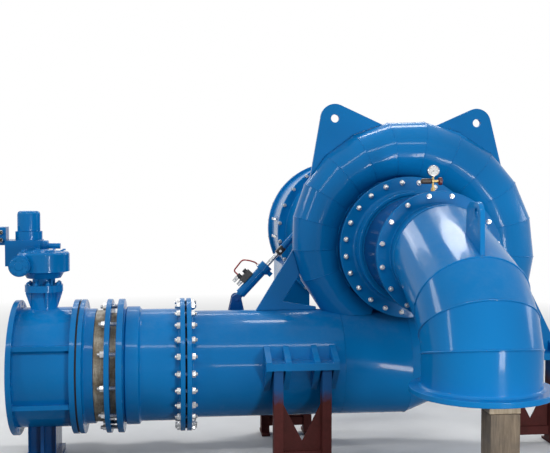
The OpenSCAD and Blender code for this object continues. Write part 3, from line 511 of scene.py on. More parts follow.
# Materials
class Shader:
    """Small helper that builds one Principled material out of named patterns."""

    def __init__(self, name, roughness=0.5, metallic=0.0, coat=0.0, coat_roughness=0.1, specular=0.5):
        self.material = bpy.data.materials.new(name)
        self.material.use_nodes = True
        self.tree = self.material.node_tree
        self.bsdf = self.tree.nodes["Principled BSDF"]
        for label, value in (("Roughness", roughness), ("Metallic", metallic), ("Coat Weight", coat),
                             ("Coat Roughness", coat_roughness), ("Specular IOR Level", specular)):
            self.bsdf.inputs[label].default_value = value
        self.where = self.node("ShaderNodeTexCoord", {}).outputs["Object"]

    def node(self, kind, inputs, **settings):
        return add_node(self.tree, kind, inputs, **settings)

    def stretched(self, scale):
        return self.node("ShaderNodeMapping", {"Scale": scale, "Vector": self.where}).outputs[0]

    def noise(self, scale, detail=4.0, rough=0.55, vector=None):
        inputs = {"Scale": scale, "Detail": detail, "Roughness": rough, "Vector": vector or self.where}
        return self.node("ShaderNodeTexNoise", inputs).outputs["Fac"]

    def between(self, value, low, high, to_low=0.0, to_high=1.0):
        inputs = {"Value": value, "From Min": low, "From Max": high, "To Min": to_low, "To Max": to_high}
        return self.node("ShaderNodeMapRange", inputs).outputs[0]

    def times(self, a, b):
        return math_node(self.tree, "MULTIPLY", a, b)

    def plus(self, a, b):
        return math_node(self.tree, "ADD", a, b)

    def mix(self, fac, a, b):
        first, second = [(*end, 1.0) if isinstance(end, tuple) else end for end in (a, b)]
        return self.node("ShaderNodeMix", {0: fac, 6: first, 7: second}, data_type="RGBA").outputs[2]

    def upward(self):
        """How far the surface faces up, from -1 to 1."""
        normal = self.node("ShaderNodeNewGeometry", {}).outputs["Normal"]
        return self.node("ShaderNodeSeparateXYZ", {0: normal}).outputs["Z"]

    def height(self):
        return self.node("ShaderNodeSeparateXYZ", {0: self.where}).outputs["Z"]

    def colour(self, value):
        self.tree.links.new(value, self.bsdf.inputs["Base Color"])

    def roughness(self, value):
        self.tree.links.new(value, self.bsdf.inputs["Roughness"])

    def bump(self, height, distance):
        node = self.node("ShaderNodeBump", {"Height": height, "Distance": distance, "Strength": 1.0})
        self.tree.links.new(node.outputs[0], self.bsdf.inputs["Normal"])


def enamel(name, deep, bright, dust_amount=0.16):
    """Brushed and sprayed gloss enamel: broad shade changes, orange peel, dust on top faces."""
    s = Shader(name, coat=0.17, coat_roughness=0.05, specular=0.04)
    broad = s.between(s.noise(1.1, 2.0), 0.35, 0.68)
    patchy = s.noise(7.0, 6.0, 0.7)
    base = s.mix(broad, deep, bright)
    dust_here = s.times(s.between(s.upward(), 0.35, 1.0), s.between(patchy, 0.4, 0.75, 0.0, dust_amount))
    dusty = s.mix(dust_here, base, (0.26, 0.34, 0.42))
    low = s.times(s.between(s.height(), 0.32, 0.0), s.between(patchy, 0.42, 0.7, 0.0, 0.5))
    s.colour(s.mix(low, dusty, (0.06, 0.055, 0.05)))
    s.roughness(s.between(patchy, 0.3, 0.75, 0.14, 0.30))
    s.bump(s.plus(s.times(s.noise(240.0, 2.0), 0.35), s.noise(28.0, 3.0)), 0.0006)
    return s.material


def zinc():
    """Bright zinc-plated fasteners with dull patches."""
    s = Shader("zinc plate", metallic=0.9)
    spots = s.noise(160.0, 4.0)
    s.colour(s.mix(s.between(spots, 0.4, 0.7), (0.68, 0.69, 0.70), (0.44, 0.43, 0.40)))
    s.roughness(s.between(spots, 0.3, 0.8, 0.22, 0.45))
    s.bump(s.noise(500.0, 2.0), 0.0001)
    return s.material


def stained_steel():
    """Bare machined band with oil stains and brown drips."""
    s = Shader("stained steel", metallic=0.45)
    rings = s.noise(60.0, 3.0, 0.6, s.stretched((6.0, 0.25, 0.25)))
    blot = s.noise(9.0, 6.0, 0.75)
    base = s.mix(s.between(rings, 0.35, 0.7), (0.20, 0.18, 0.14), (0.40, 0.37, 0.30))
    s.colour(s.mix(s.between(blot, 0.42, 0.62), base, (0.13, 0.10, 0.06)))
    s.roughness(s.between(blot, 0.3, 0.7, 0.35, 0.65))
    s.bump(rings, 0.0004)
    return s.material


def machined_steel(name, light, dark, stretch):
    """Turned steel with fine tool marks."""
    s = Shader(name, metallic=0.85)
    marks = s.noise(90.0, 3.0, 0.6, s.stretched(stretch))
    blot = s.noise(6.0, 4.0)
    s.colour(s.mix(s.between(s.plus(s.times(marks, 0.6), s.times(blot, 0.4)), 0.35, 0.65), dark, light))
    s.roughness(s.between(blot, 0.3, 0.7, 0.22, 0.42))
    s.bump(marks, 0.00015)
    return s.material


def oxide_primer():
    """Red oxide primer with blue overspray on the upper part and rust bloom below."""
    s = Shader("red oxide primer", roughness=0.6, specular=0.12)
    patchy = s.noise(9.0, 6.0, 0.7)
    red = s.mix(s.between(patchy, 0.35, 0.7), (0.060, 0.014, 0.012), (0.105, 0.026, 0.024))
    edge = s.plus(s.height(), s.times(s.noise(14.0, 5.0, 0.7), 0.14))
    spray = s.between(edge, OVERSPRAY_Z, OVERSPRAY_Z + 0.09)
    s.colour(s.mix(spray, red, (0.010, 0.085, 0.250)))
    s.roughness(s.between(patchy, 0.3, 0.7, 0.45, 0.75))
    s.bump(s.noise(70.0, 5.0), 0.0008)
    return s.material


def sawn_wood(name, pale, dark, stain):
    """Sawn timber with the grain along its height."""
    s = Shader(name, roughness=0.8)
    grain = s.noise(26.0, 6.0, 0.7, s.stretched((3.0, 3.0, 0.22)))
    fine = s.noise(120.0, 4.0, 0.6, s.stretched((4.0, 4.0, 0.15)))
    blot = s.noise(4.0, 4.0)
    base = s.mix(s.between(grain, 0.35, 0.68), dark, pale)
    s.colour(s.mix(s.between(blot, 0.5, 0.72, 0.0, 0.7), base, stain))
    s.roughness(s.between(fine, 0.3, 0.7, 0.65, 0.9))
    s.bump(s.plus(grain, fine), 0.0016)
    return s.material


def plain_finish(name, light, dark, roughness, metallic=0.0, scale=40.0, bump=0.0003):
    """Small parts: two close shades and a light grain."""
    s = Shader(name, roughness=roughness, metallic=metallic)
    grain = s.noise(scale, 4.0)
    s.colour(s.mix(s.between(grain, 0.35, 0.7), dark, light))
    s.roughness(s.between(grain, 0.3, 0.7, roughness * 0.8, min(1.0, roughness * 1.25)))
    s.bump(grain, bump)
    return s.material


OVERSPRAY_Z = 0.50
BLUE = enamel("blue enamel", (0.002, 0.150, 0.410), (0.003, 0.205, 0.540))
# Darker copy of the blue enamel: painted shade for parts in recesses, underneath or at the rear
SHADED_BLUE = enamel("blue enamel darkened as painted shade", (0.003, 0.055, 0.200), (0.004, 0.085, 0.280), 0.10)
ZINC = zinc()
STAINED = stained_steel()
SHAFT_STEEL = machined_steel("turned shaft steel", (0.62, 0.62, 0.60), (0.42, 0.42, 0.41), (0.3, 6.0, 0.3))
GEAR_STEEL = machined_steel("oiled gear steel", (0.50, 0.50, 0.49), (0.30, 0.30, 0.30), (2.0, 2.0, 2.0))
PRIMER = oxide_primer()
TIMBER = sawn_wood("grey sawn timber", (0.26, 0.20, 0.14), (0.11, 0.085, 0.06), (0.07, 0.065, 0.06))
PLANK = sawn_wood("pale sawn plank", (0.56, 0.47, 0.34), (0.36, 0.28, 0.19), (0.30, 0.26, 0.20))
BLACK = plain_finish("black paint", (0.020, 0.020, 0.022), (0.008, 0.008, 0.009), 0.35)
RUBBER = plain_finish("black rubber", (0.022, 0.022, 0.022), (0.012, 0.012, 0.012), 0.7)
CHROME = plain_finish("hard chrome", (0.48, 0.49, 0.50), (0.38, 0.39, 0.40), 0.16, 1.0, 300.0, 0.00003)
BRASS = plain_finish("dull brass", (0.52, 0.38, 0.16), (0.32, 0.22, 0.09), 0.35, 0.9, 90.0)
RED_PIPE = plain_finish("red pipe paint", (0.42, 0.02, 0.02), (0.26, 0.01, 0.012), 0.4)
HANDLE_BROWN = plain_finish("brown lever grip", (0.055, 0.035, 0.022), (0.025, 0.016, 0.012), 0.45)
KNOB_RED = plain_finish("dark red knob", (0.16, 0.016, 0.014), (0.08, 0.010, 0.010), 0.35)
DIAL_WHITE = plain_finish("white dial", (0.80, 0.80, 0.78), (0.72, 0.72, 0.70), 0.5, 0.0, 25.0, 0.00005)
INK = plain_finish("dial ink", (0.02, 0.02, 0.02), (0.01, 0.01, 0.01), 0.5)
GASKET = plain_finish("gasket sheet", (0.030, 0.028, 0.026), (0.014, 0.013, 0.012), 0.75)

# Inlet line: every pipe, flange and band is turned to its profile
FLANGE_R = (pipe_hi.z - pipe_lo.z) / 2
GASKET_T = 0.012
EDGE = 0.004
INLET_PCD_R = 0.420
ROD_PCD_R = 0.412
SPIGOT_R, BAND_R, TELESCOPE_R = 0.384, 0.372, 0.352
SPOOL_R, STEP_R, PIPE_R = 0.376, 0.396, 0.360
SPIGOT_FACE_R, PIPE_FACE_R = SPIGOT_R - 0.014, PIPE_R - 0.012
SPIGOT_FLANGE_T, GLAND_T, SLEEVE_FLANGE_T, FLANGE_T = 0.030, 0.033, 0.040, 0.031
STEP_GAP, STEP_L = 0.016, 0.083
SLEEVE_R = SPOOL_R + 0.004
PIPE_TURNS, COVER_TURNS = 128, 144
NECK_FILLET = 0.010
INLET_BOLTS, TIE_RODS = 24, 12
BOLT_TURN, ROD_TURN = 13.5, 10.0
valve_lo, valve_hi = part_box("valve_body")
spigot_lo, spigot_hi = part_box("joint_spigot")
band_lo, band_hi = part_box("joint_band")
gland_lo, gland_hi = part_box("joint_gland_ring")
spool_lo, spool_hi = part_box("spool_pipe")
VALVE_X = (valve_lo.x + valve_hi.x) / 2


def flange_profile(start, thickness, pipe_r, face_r):
    """Raised face, flange and the fillet onto the pipe, as (radius, height) points."""
    return [(0, start - GASKET_T), (face_r, start - GASKET_T), (face_r, start), (FLANGE_R, start),
            (FLANGE_R, start + thickness), (pipe_r + NECK_FILLET, start + thickness),
            (pipe_r, start + thickness + NECK_FILLET)]


def inlet_line():
    x = spigot_lo.x + GASKET_T
    profile = flange_profile(0, SPIGOT_FLANGE_T, SPIGOT_R, SPIGOT_FACE_R)
    profile += [(SPIGOT_R, spigot_hi.x - x), (0, spigot_hi.x - x)]
    spigot = lathe("spigot", profile, along_pipe(x), PIPE_TURNS)
    piece("joint_spigot_turned", spigot, BLUE, "joint_spigot")
    band_l = gland_lo.x - band_lo.x
    total = band_hi.x - band_lo.x
    profile = [(0, 0), (BAND_R, 0), (BAND_R, band_l), (TELESCOPE_R, band_l), (TELESCOPE_R, total), (0, total)]
    band = lathe("band", profile, along_pipe(band_lo.x), PIPE_TURNS)
    piece("joint_band_turned", band, STAINED, "joint_band")
    ring = hoop(TELESCOPE_R + 0.0003, FLANGE_R, 0, GLAND_T)
    gland = lathe("gland", ring, along_pipe(gland_lo.x), PIPE_TURNS, EDGE, closed=True)
    piece("gland_ring_turned", gland, BLUE, "joint_gland_ring")
    total = spool_hi.x - spool_lo.x
    step = SLEEVE_FLANGE_T + STEP_GAP
    profile = [(0, 0), (FLANGE_R, 0), (FLANGE_R, SLEEVE_FLANGE_T), (SLEEVE_R, SLEEVE_FLANGE_T),
               (SLEEVE_R, step - 0.006), (STEP_R, step), (STEP_R, step + STEP_L),
               (SPOOL_R, step + STEP_L + 0.012),
               (SPOOL_R, total - FLANGE_T - NECK_FILLET), (SPOOL_R + NECK_FILLET, total - FLANGE_T),
               (FLANGE_R, total - FLANGE_T), (FLANGE_R, total), (0, total)]
    spool = lathe("spool", profile, along_pipe(spool_lo.x), PIPE_TURNS, EDGE)
    piece("spool_pipe_turned", spool, BLUE, "spool_pipe")
    x = pipe_lo.x + GASKET_T
    profile = flange_profile(0, FLANGE_T, PIPE_R, PIPE_FACE_R)
    profile += [(PIPE_R, pipe_hi.x - x), (0, pipe_hi.x - x)]
    pipe = lathe("inlet pipe", profile, along_pipe(x), PIPE_TURNS, EDGE)
    piece("inlet_pipe_turned", pipe, BLUE, "inlet_pipe")


def inlet_gaskets():
    rings = []
    for x, inner, outer in ((spigot_lo.x, SPIGOT_FACE_R, FLANGE_R - 0.012),
                            (spool_hi.x, PIPE_FACE_R, INLET_PCD_R - 0.03)):
        profile = hoop(inner, outer, 0.0004, GASKET_T - 0.0004)
        rings.append(lathe("gasket", profile, along_pipe(x), 96, 0.001, closed=True))
    piece("gaskets", joined("gaskets", rings), GASKET)


def facing_inlet(x):
    """Like along_pipe but looking to the inlet end, so that turns count the other way."""
    return placed(Vector((x, MID_Y, PIPE_Z)), -RIGHT, -UP)


def inlet_fasteners():
    nut = hex_nut(PIPE_NUT, 0.020, stud_r=PIPE_STUD_R, stud_l=0.012)
    bolts_on_circle("flange_pair_nuts", nut.copy(), ZINC, [facing_inlet(spool_hi.x - FLANGE_T)],
                    INLET_BOLTS, INLET_PCD_R, -BOLT_TURN)
    bolts_on_circle("flange_pair_bolts", nut, ZINC, [along_pipe(pipe_lo.x + GASKET_T + FLANGE_T)],
                    INLET_BOLTS, INLET_PCD_R, BOLT_TURN)
    bolts_on_circle("flange_pair_studs", threaded_rod(0.0135, GASKET_T), ZINC, [along_pipe(spool_hi.x)],
                    INLET_BOLTS, INLET_PCD_R, BOLT_TURN)
    rods = bolts_on_circle("tie_rod_threads", threaded_rod(0.0132, spool_lo.x - gland_hi.x), ZINC,
                           [along_pipe(gland_hi.x)], TIE_RODS, ROD_PCD_R, ROD_TURN)
    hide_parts("joint_tie_rods")
    nut = hex_nut(PIPE_NUT, 0.022, stud_r=PIPE_STUD_R, stud_l=0.016)
    bolts_on_circle("tie_rod_nuts", nut, ZINC, [facing_inlet(gland_lo.x)], TIE_RODS, ROD_PCD_R, -ROD_TURN)


# Inlet valve with its gear and actuator
gear_lo, gear_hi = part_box("worm_gearbox")
mount_lo, mount_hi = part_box("gear_mount")
motor_lo, motor_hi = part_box("actuator_motor")
box_lo, box_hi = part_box("actuator_terminal_box")
STEM_OFFSET = 0.026
GEAR_FLANGE_T, GEAR_TOP_T, GUSSET_T = 0.045, 0.014, 0.014
WORM_R, WORM_OFFSET, WORM_LEVEL, GEAR_H = 0.062, 0.131, 0.54, 0.172
TERMINAL_BOX_H = 0.126
GLAND_LEVELS = (0.3, 0.72)
CLAMP_IN_R, CLAMP_OUT_R, CLAMP_OUT, CLAMP_T = 0.296, 0.334, 0.014, 0.010
SEAL_PCD_R, GEAR_MOUNT_PCD_R, GEAR_COVER_PCD_R, WORM_PCD_R, MOTOR_PCD_R = 0.315, 0.103, 0.138, 0.046, 0.086
stem_x = VALVE_X - STEM_OFFSET


def facing_front(x, y, z):
    """Local Z towards the draft side, from a place in the frame."""
    return placed(Vector((x, y, z)), -REAR, RIGHT)


def disc_face(out):
    """Local Z towards the inlet, at a distance before the middle of the valve."""
    return placed(Vector((VALVE_X - out, MID_Y, PIPE_Z)), -RIGHT, UP)


def facing_up(x, y, z):
    """Local Z upward, from a place in the frame."""
    return placed(Vector((x, y, z)), UP, RIGHT)


def valve():
    soft_piece("valve_body", "valve_body_cast", BLUE, 0.003)
    # The foot under the valve takes the darkened enamel as painted shade
    soft_piece("valve_foot", "valve_foot_welded", SHADED_BLUE, 0.002)
    paint("valve_disc", GEAR_STEEL)
    ring = [(CLAMP_IN_R, -0.014), (CLAMP_OUT_R, -0.010), (CLAMP_OUT_R, CLAMP_T), (CLAMP_IN_R, CLAMP_T)]
    clamp = lathe("clamp ring", ring, disc_face(CLAMP_OUT), 96, 0.002, closed=True)
    piece("seal_clamp_ring", clamp, SHAFT_STEEL)
    bolts_on_circle("seal_clamp_bolts", hex_nut(M12, 0.010), ZINC, [disc_face(CLAMP_OUT + CLAMP_T)],
                    24, SEAL_PCD_R)


def valve_gear():
    soft_piece("gear_mount", "gear_mount_cast", BLUE, 0.003)
    soft_piece("worm_gearbox", "worm_gearbox_cast", BLUE, 0.004)
    soft_piece("actuator_body", "actuator_body_cast", BLUE, 0.008)
    soft_piece("actuator_motor", "actuator_motor_shell", BLUE, 0.004, slot="enamel_deep_blue")
    soft_piece("actuator_terminal_box", "actuator_terminal_case", BLUE, 0.006)
    gusset = [(0.080, -0.115), (0.086, -0.115), (0.120, -0.014), (0.120, 0.0), (0.080, 0.0)]
    gussets = []
    for turn in range(15, 360, 90):
        way = Matrix.Rotation(math.radians(turn), 3, "Z") @ -REAR
        foot = placed(Vector((stem_x, MID_Y, mount_lo.z)), way.cross(UP), way)
        gussets.append(cut_plate(gusset, [], GUSSET_T, foot))
    piece("gear_seat_gussets", joined("gussets", gussets), BLUE)
    bolts_on_circle("gear_mount_bolts", hex_nut(M18, 0.014, stud_r=0.009, stud_l=0.006), BLUE,
                    [facing_up(stem_x, MID_Y, mount_lo.z + GEAR_FLANGE_T)], 8, GEAR_MOUNT_PCD_R)
    bolts_on_circle("gear_cover_bolts", hex_nut(M12, 0.009), BLUE,
                    [facing_up(stem_x, MID_Y, gear_hi.z - GEAR_TOP_T)], 8, GEAR_COVER_PCD_R)
    worm_x = stem_x - WORM_OFFSET
    worm_z = mount_hi.z + GEAR_H * WORM_LEVEL
    cap = [(0, -0.004), (WORM_R - 0.004, -0.004), (WORM_R - 0.004, 0.006), (0.03, 0.006), (0.026, 0.010),
           (0, 0.010)]
    cap_place = facing_front(worm_x, gear_lo.y + 0.004, worm_z)
    piece("worm_end_cap", lathe("end cap", cap, cap_place, 64, 0.003), BLUE)
    bolts_on_circle("worm_cap_screws", hex_nut(M8, 0.006, washer=False), BLUE,
                    [facing_front(worm_x, gear_lo.y - 0.001, worm_z)], 6, WORM_PCD_R, first=0)
    motor_x, motor_y = (motor_lo.x + motor_hi.x) / 2, (motor_lo.y + motor_hi.y) / 2
    bolts_on_circle("motor_flange_bolts", hex_nut(M8, 0.007), BLUE,
                    [facing_up(motor_x, motor_y, motor_lo.z)], 4, MOTOR_PCD_R)
    gland = [(0, 0), (0.0165, 0), (0.0165, 0.010), (0.014, 0.016), (0.012, 0.016), (0.011, 0.004), (0, 0.004)]
    plug = [(0, 0), (0.0112, 0), (0.0112, 0.012), (0, 0.013)]
    box_x = (box_lo.x + box_hi.x) / 2
    glands, plugs = [], []
    for level in GLAND_LEVELS:
        z = box_lo.z + TERMINAL_BOX_H * level
        glands.append(lathe("gland", gland, facing_front(box_x, box_lo.y + 0.0005, z), 24, 0.001))
        plugs.append(lathe("plug", plug, facing_front(box_x, box_lo.y - 0.0005, z), 24, 0.001))
    piece("cable_gland_rings", joined("glands", glands), CHROME)
    piece("cable_gland_plugs", joined("plugs", plugs), RUBBER)


# Brackets, stands and timber
BRACKET_WELDS_UP = (0.034, 0.080)


def supports():
    soft_piece("inlet_brackets", "inlet_brackets_welded", BLUE, 0.003)
    soft_piece("inlet_stands", "inlet_stands_welded", PRIMER, 0.002)
    soft_piece("scroll_stand", "scroll_stand_welded", PRIMER, 0.002)
    soft_piece("scroll_foot", "scroll_foot_welded", BLUE, 0.003)
    soft_piece("timber_block", "timber_block_sawn", TIMBER, 0.006)
    soft_piece("timber_plank", "timber_plank_sawn", PLANK, 0.003)
    plate_lo, plate_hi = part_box("inlet_brackets")
    lines = []
    for side in (-1, 1):
        for up in BRACKET_WELDS_UP:
            y = MID_Y + side * math.sqrt(PIPE_R ** 2 - up ** 2)
            lines.append(([(plate_lo.x + 0.02, y, PIPE_Z + up), (plate_hi.x - 0.02, y, PIPE_Z + up)], False))
    beads("bracket_welds", lines, BLUE, 0.006)


# Mitred scroll case
SIDE_R, INNER_R, WELD_R = 0.248, 0.440, 0.470
WRAP, INLET_ANGLE, SWELL_ANGLE = 315, -90, -15
SEGMENTS, PITCH = 18, 17
RING_POINTS, WELD_STEP = 97, 3
INLET_REACH = math.radians(177)
SWELL = PIPE_R - SIDE_R * math.sqrt(1 - INLET_ANGLE / WRAP)


def section_r(angle):
    """The section shrinks round the wrap, and swells into the inlet pipe before it."""
    swollen = max(0.0, (SWELL_ANGLE - angle) / (SWELL_ANGLE - INLET_ANGLE))
    return SIDE_R * math.sqrt(1 - angle / WRAP) + SWELL * swollen ** 2


def section_ring(angle, count=RING_POINTS):
    """Points of the scroll's section at a wrap angle, from one side of the stay ring to the other."""
    r = section_r(angle)
    middle = INNER_R + r
    reach = math.acos((WELD_R - middle) / r)
    c, s = math.cos(math.radians(angle)), math.sin(math.radians(angle))
    ring = []
    for k in range(count):
        w = (2 * k / (count - 1) - 1) * reach
        out = middle + r * math.cos(w)
        ring.append(AXIS + Vector((out * c, -r * math.sin(w), out * s)))
    return ring


def inlet_ring(x):
    """Points round the end of the inlet pipe, in the order of the scroll's sections."""
    ring = []
    for k in range(RING_POINTS):
        w = (2 * k / (RING_POINTS - 1) - 1) * INLET_REACH
        ring.append(Vector((x, MID_Y - PIPE_R * math.sin(w), PIPE_Z - PIPE_R * math.cos(w))))
    return ring


def scroll():
    stations = [INLET_ANGLE + PITCH * i for i in range(SEGMENTS + 1)]
    rings = [inlet_ring(pipe_hi.x)] + [section_ring(a) for a in stations]
    shell = skin("scroll shell", rings, sharp=range(1, SEGMENTS + 2))
    piece("scroll_shell", shell, BLUE, "scroll_case")
    soft_piece("scroll_nose", "scroll_nose_pressed", BLUE, 0.0005)
    lines = [(section_ring(a), False) for a in stations[:-1]]
    beads("scroll_seam_welds", lines, BLUE, 0.0026, step=0.009)
    steps = SEGMENTS * PITCH // WELD_STEP + 1
    edges = [([section_ring(INLET_ANGLE + WELD_STEP * k, 3)[side] for k in range(steps)], False)
             for side in (0, -1)]
    beads("stay_ring_welds", edges, BLUE, 0.007)
    # The stay ring in the gap between scroll and cover flange takes the darkened enamel as painted shade
    paint("stay_ring", SHADED_BLUE)
    soft_piece("lifting_ears", "lifting_ears_cut", BLUE, 0.003)
    soft_piece("scroll_brace", "scroll_brace_cut", BLUE, 0.003)


# Draft side: cover, cone and mitred bend
COVER_R, COVER_T, COVER_STEP_R, COVER_STEP_L = 0.474, 0.035, 0.372, 0.130
STAY_HALF = (stay_hi.y - stay_lo.y) / 2
CONE_R, NECK_R, NECK_FLANGE_R, NECK_T = 0.338, 0.300, 0.381, 0.036
NECK_Y = 0.925
BEND_R, BEND_TURN, BEND_OVER = 0.309, 22.5, 0.130
BEND_START, BEND_LONG, BEND_MID, BEND_SHORT = 0.088, 0.560, 0.156, 0.128
OUTLET_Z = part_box("draft_bend")[0].z
COLLAR_R, COLLAR_T, OUTLET_R, OUTLET_DEPTH = 0.3709, 0.030, 0.297, 0.200
BEND_POINTS = 128
LUG_T, LUG_HOLE_R = 0.026, 0.025
JOINT_GAP = 0.0006
COVER_PCD_R, NECK_PCD_R = 0.437, 0.356


def draft_covers():
    face = COVER_T + COVER_STEP_L
    profile = [(0, 0), (COVER_R, 0), (COVER_R, COVER_T), (COVER_STEP_R + 0.012, COVER_T),
               (COVER_STEP_R, COVER_T + 0.012), (COVER_STEP_R, face), (COVER_STEP_R - 0.020, face),
               (COVER_STEP_R - 0.022, face - 0.006), (0, face - 0.006)]
    cover = lathe("cover", profile, draft_side(STAY_HALF), COVER_TURNS, 0.005)
    piece("draft_cover_turned", cover, BLUE, "draft_cover")
    start = STAY_HALF + face
    length = NECK_Y - start
    profile = [(0, -0.006), (CONE_R, -0.006), (NECK_R + 0.008, length - NECK_T - 0.004),
               (NECK_R + 0.020, length - NECK_T), (NECK_FLANGE_R, length - NECK_T),
               (NECK_FLANGE_R, length - JOINT_GAP), (0, length - JOINT_GAP)]
    cone = lathe("cone", profile, draft_side(start), COVER_TURNS, 0.004)
    # The cone in its recess between cover and neck flange takes the darkened enamel as painted shade
    piece("draft_cone_turned", cone, SHADED_BLUE, "draft_cone")
    bolts_on_circle("draft_cover_bolts", hex_nut(M18, 0.016, dome=0.004), ZINC,
                    [draft_side(STAY_HALF + COVER_T)], 24, COVER_PCD_R)
    bolts_on_circle("neck_flange_bolts", hex_nut(M16, 0.014, stud_r=0.008, stud_l=0.010), ZINC,
                    [draft_side(NECK_Y + NECK_T), placed(AXIS - REAR * (NECK_Y - NECK_T), REAR, -RIGHT)],
                    16, NECK_PCD_R)


def bend_corners():
    """Corner points of the bend as (towards the draft side, up), measured from the turbine axis."""
    points = [Vector((NECK_Y + NECK_T, 0)), Vector((NECK_Y + NECK_T + BEND_START, 0))]
    for k, length in enumerate((BEND_LONG, BEND_MID, BEND_SHORT)):
        slope = math.radians(BEND_TURN * (k + 1))
        points.append(points[-1] + length * Vector((math.cos(slope), -math.sin(slope))))
    return points


def bend_ring(centre, angle, radius, stretch=1.0):
    """Ring round the bend's centreline, standing square to the given slope."""
    slope = math.radians(angle)
    across = Vector((0, -math.sin(slope), math.cos(slope))) * stretch
    middle = AXIS + Vector((0, -centre[0], centre[1]))
    return [middle + radius * (math.cos(t) * RIGHT + math.sin(t) * across)
            for t in (2 * math.pi * k / BEND_POINTS for k in range(BEND_POINTS))]


def draft_bend():
    corners = bend_corners()
    mitre = 1 / math.cos(math.radians(BEND_TURN / 2))
    rings = [bend_ring(corners[0], 0, NECK_R), bend_ring(corners[1], BEND_TURN / 2, NECK_R, mitre)]
    slope = math.radians(BEND_TURN)
    way = Vector((math.cos(slope), -math.sin(slope)))
    rings.append(bend_ring(corners[1] + way * BEND_OVER, BEND_TURN, NECK_R))
    rings.append(bend_ring(corners[2] - way * BEND_OVER, BEND_TURN, BEND_R))
    for k in (2, 3, 4):
        rings.append(bend_ring(corners[k], BEND_TURN * (k - 0.5), BEND_R, mitre))
    outlet_x = corners[4][0]
    low = OUTLET_Z - AXIS_Z
    collar = [(BEND_R, low + 0.12), (BEND_R, low + COLLAR_T + 0.012), (BEND_R + 0.012, low + COLLAR_T),
              (COLLAR_R, low + COLLAR_T), (COLLAR_R, low), (OUTLET_R, low), (OUTLET_R, low + OUTLET_DEPTH)]
    for r, up in rounded(collar, 0.004):
        rings.append(bend_ring((outlet_x, up), 90, r))
    mitres = (1, 4, 5, 6)
    shell = skin("bend shell", rings, sharp=mitres)
    neck = hoop(NECK_R - 0.02, NECK_FLANGE_R, JOINT_GAP, NECK_T)
    flange = lathe("bend flange", neck, draft_side(NECK_Y), COVER_TURNS, 0.004, closed=True)
    piece("draft_bend_mitred", joined("bend", [shell, flange, bend_lug()]), BLUE, "draft_bend")
    welds = [(rings[i] + rings[i][:1], False) for i in mitres]
    welds.append((bend_ring(corners[0], 0, NECK_R + 0.002), True))
    welds.append((bend_ring((outlet_x, low + COLLAR_T + 0.002), 90, BEND_R + 0.002), True))
    beads("bend_seam_welds", welds, BLUE, 0.0056)


def bend_lug():
    outline = [(1.480, 0.130), (1.500, 0.290), (1.528, 0.312), (1.560, 0.325), (1.670, 0.325), (1.705, 0.308),
               (1.725, 0.280), (1.730, 0.036), (1.600, 0.020)]
    place = placed(AXIS, -RIGHT, -REAR)
    return cut_plate(outline, [(1.655, 0.268, LUG_HOLE_R)], LUG_T, place)


# Rear side: head cover, regulating ring, vane arms, shaft line and generator
COVER_BACK = STAY_HALF + COVER_T
VANES = 16
STEM_PCD_R = 0.330
FRAME_START, FRAME_L, FRAME_FLANGE_T, HOOD_FLANGE_T = 2.000, 0.850, 0.034, 0.036
BASE_X, BASE_BOLT_X, BASE_FOOT_T = 0.470, 0.140, 0.034
HATCH_ROWS_UP = (-0.05, 0.11)
COUPLING_Y, COUPLING_T = 0.900, 0.120
BEARING_FRONT, BEARING_BACK = 1.260, 1.500
ANCHOR_X, PEDESTAL_FOOT_T = 0.270, 0.040
HEAD_PCD_R, HUB_PCD_R, COUPLING_PCD_R, BEARING_PCD_R, FRAME_PCD_R = 0.397, 0.122, 0.145, 0.135, 0.634


def guide_gear():
    # The head cover behind the vane arms takes the darkened enamel as painted shade
    soft_piece("head_cover", "head_cover_cast", SHADED_BLUE, 0.002)
    soft_piece("regulating_ring", "regulating_ring_cut", BLUE, 0.002, body="regulating_ring")
    bolts_on_circle("head_cover_bolts", hex_nut(M16, 0.014), ZINC, [rear_side(COVER_BACK)], 24, HEAD_PCD_R)
    hub_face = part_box("head_cover")[1].y - MID_Y
    bolts_on_circle("hub_bolts", hex_nut(M12, 0.010), ZINC, [rear_side(hub_face)], 8, HUB_PCD_R)
    cap = [(0.004, -0.004), (0.022, -0.004), (0.022, 0.007), (0.008, 0.007), (0.006, 0.003), (0.004, 0.003)]
    for k in range(VANES):
        turn = 2 * math.pi * k / VANES
        body = "vane_arm_%02d" % (k + 1)
        paint(body, GEAR_STEEL)
        low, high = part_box(body)
        place = rear_side(high.y - MID_Y, STEM_PCD_R * math.cos(turn), STEM_PCD_R * math.sin(turn))
        piece("stem_cap_%02d" % (k + 1), lathe("cap", cap, place, 32, 0.001, closed=True), CHROME, body=body)


def shaft_line():
    paint("main_shaft", SHAFT_STEEL)
    bolts_on_circle("coupling_bolts", hex_nut(M20, 0.020, stud_r=0.011, stud_l=0.010), ZINC,
                    [rear_side(COUPLING_Y + COUPLING_T), draft_side(-COUPLING_Y)], 8, COUPLING_PCD_R)
    soft_piece("bearing_pedestal", "bearing_pedestal_cast", BLUE, 0.005)
    bolts_on_circle("bearing_cap_screws", hex_nut(M12, 0.010), ZINC,
                    [rear_side(BEARING_BACK), draft_side(-BEARING_FRONT)], 8, BEARING_PCD_R)
    rows = [(facing_up(AXIS_X + side * ANCHOR_X, MID_Y + back, PEDESTAL_FOOT_T), 1, 0.1)
            for back in (BEARING_FRONT - 0.030, BEARING_BACK + 0.030) for side in (-1, 1)]
    bolts_in_rows("pedestal_anchor_nuts", hex_nut(M24, 0.024, stud_r=0.012, stud_l=0.016), ZINC, rows)


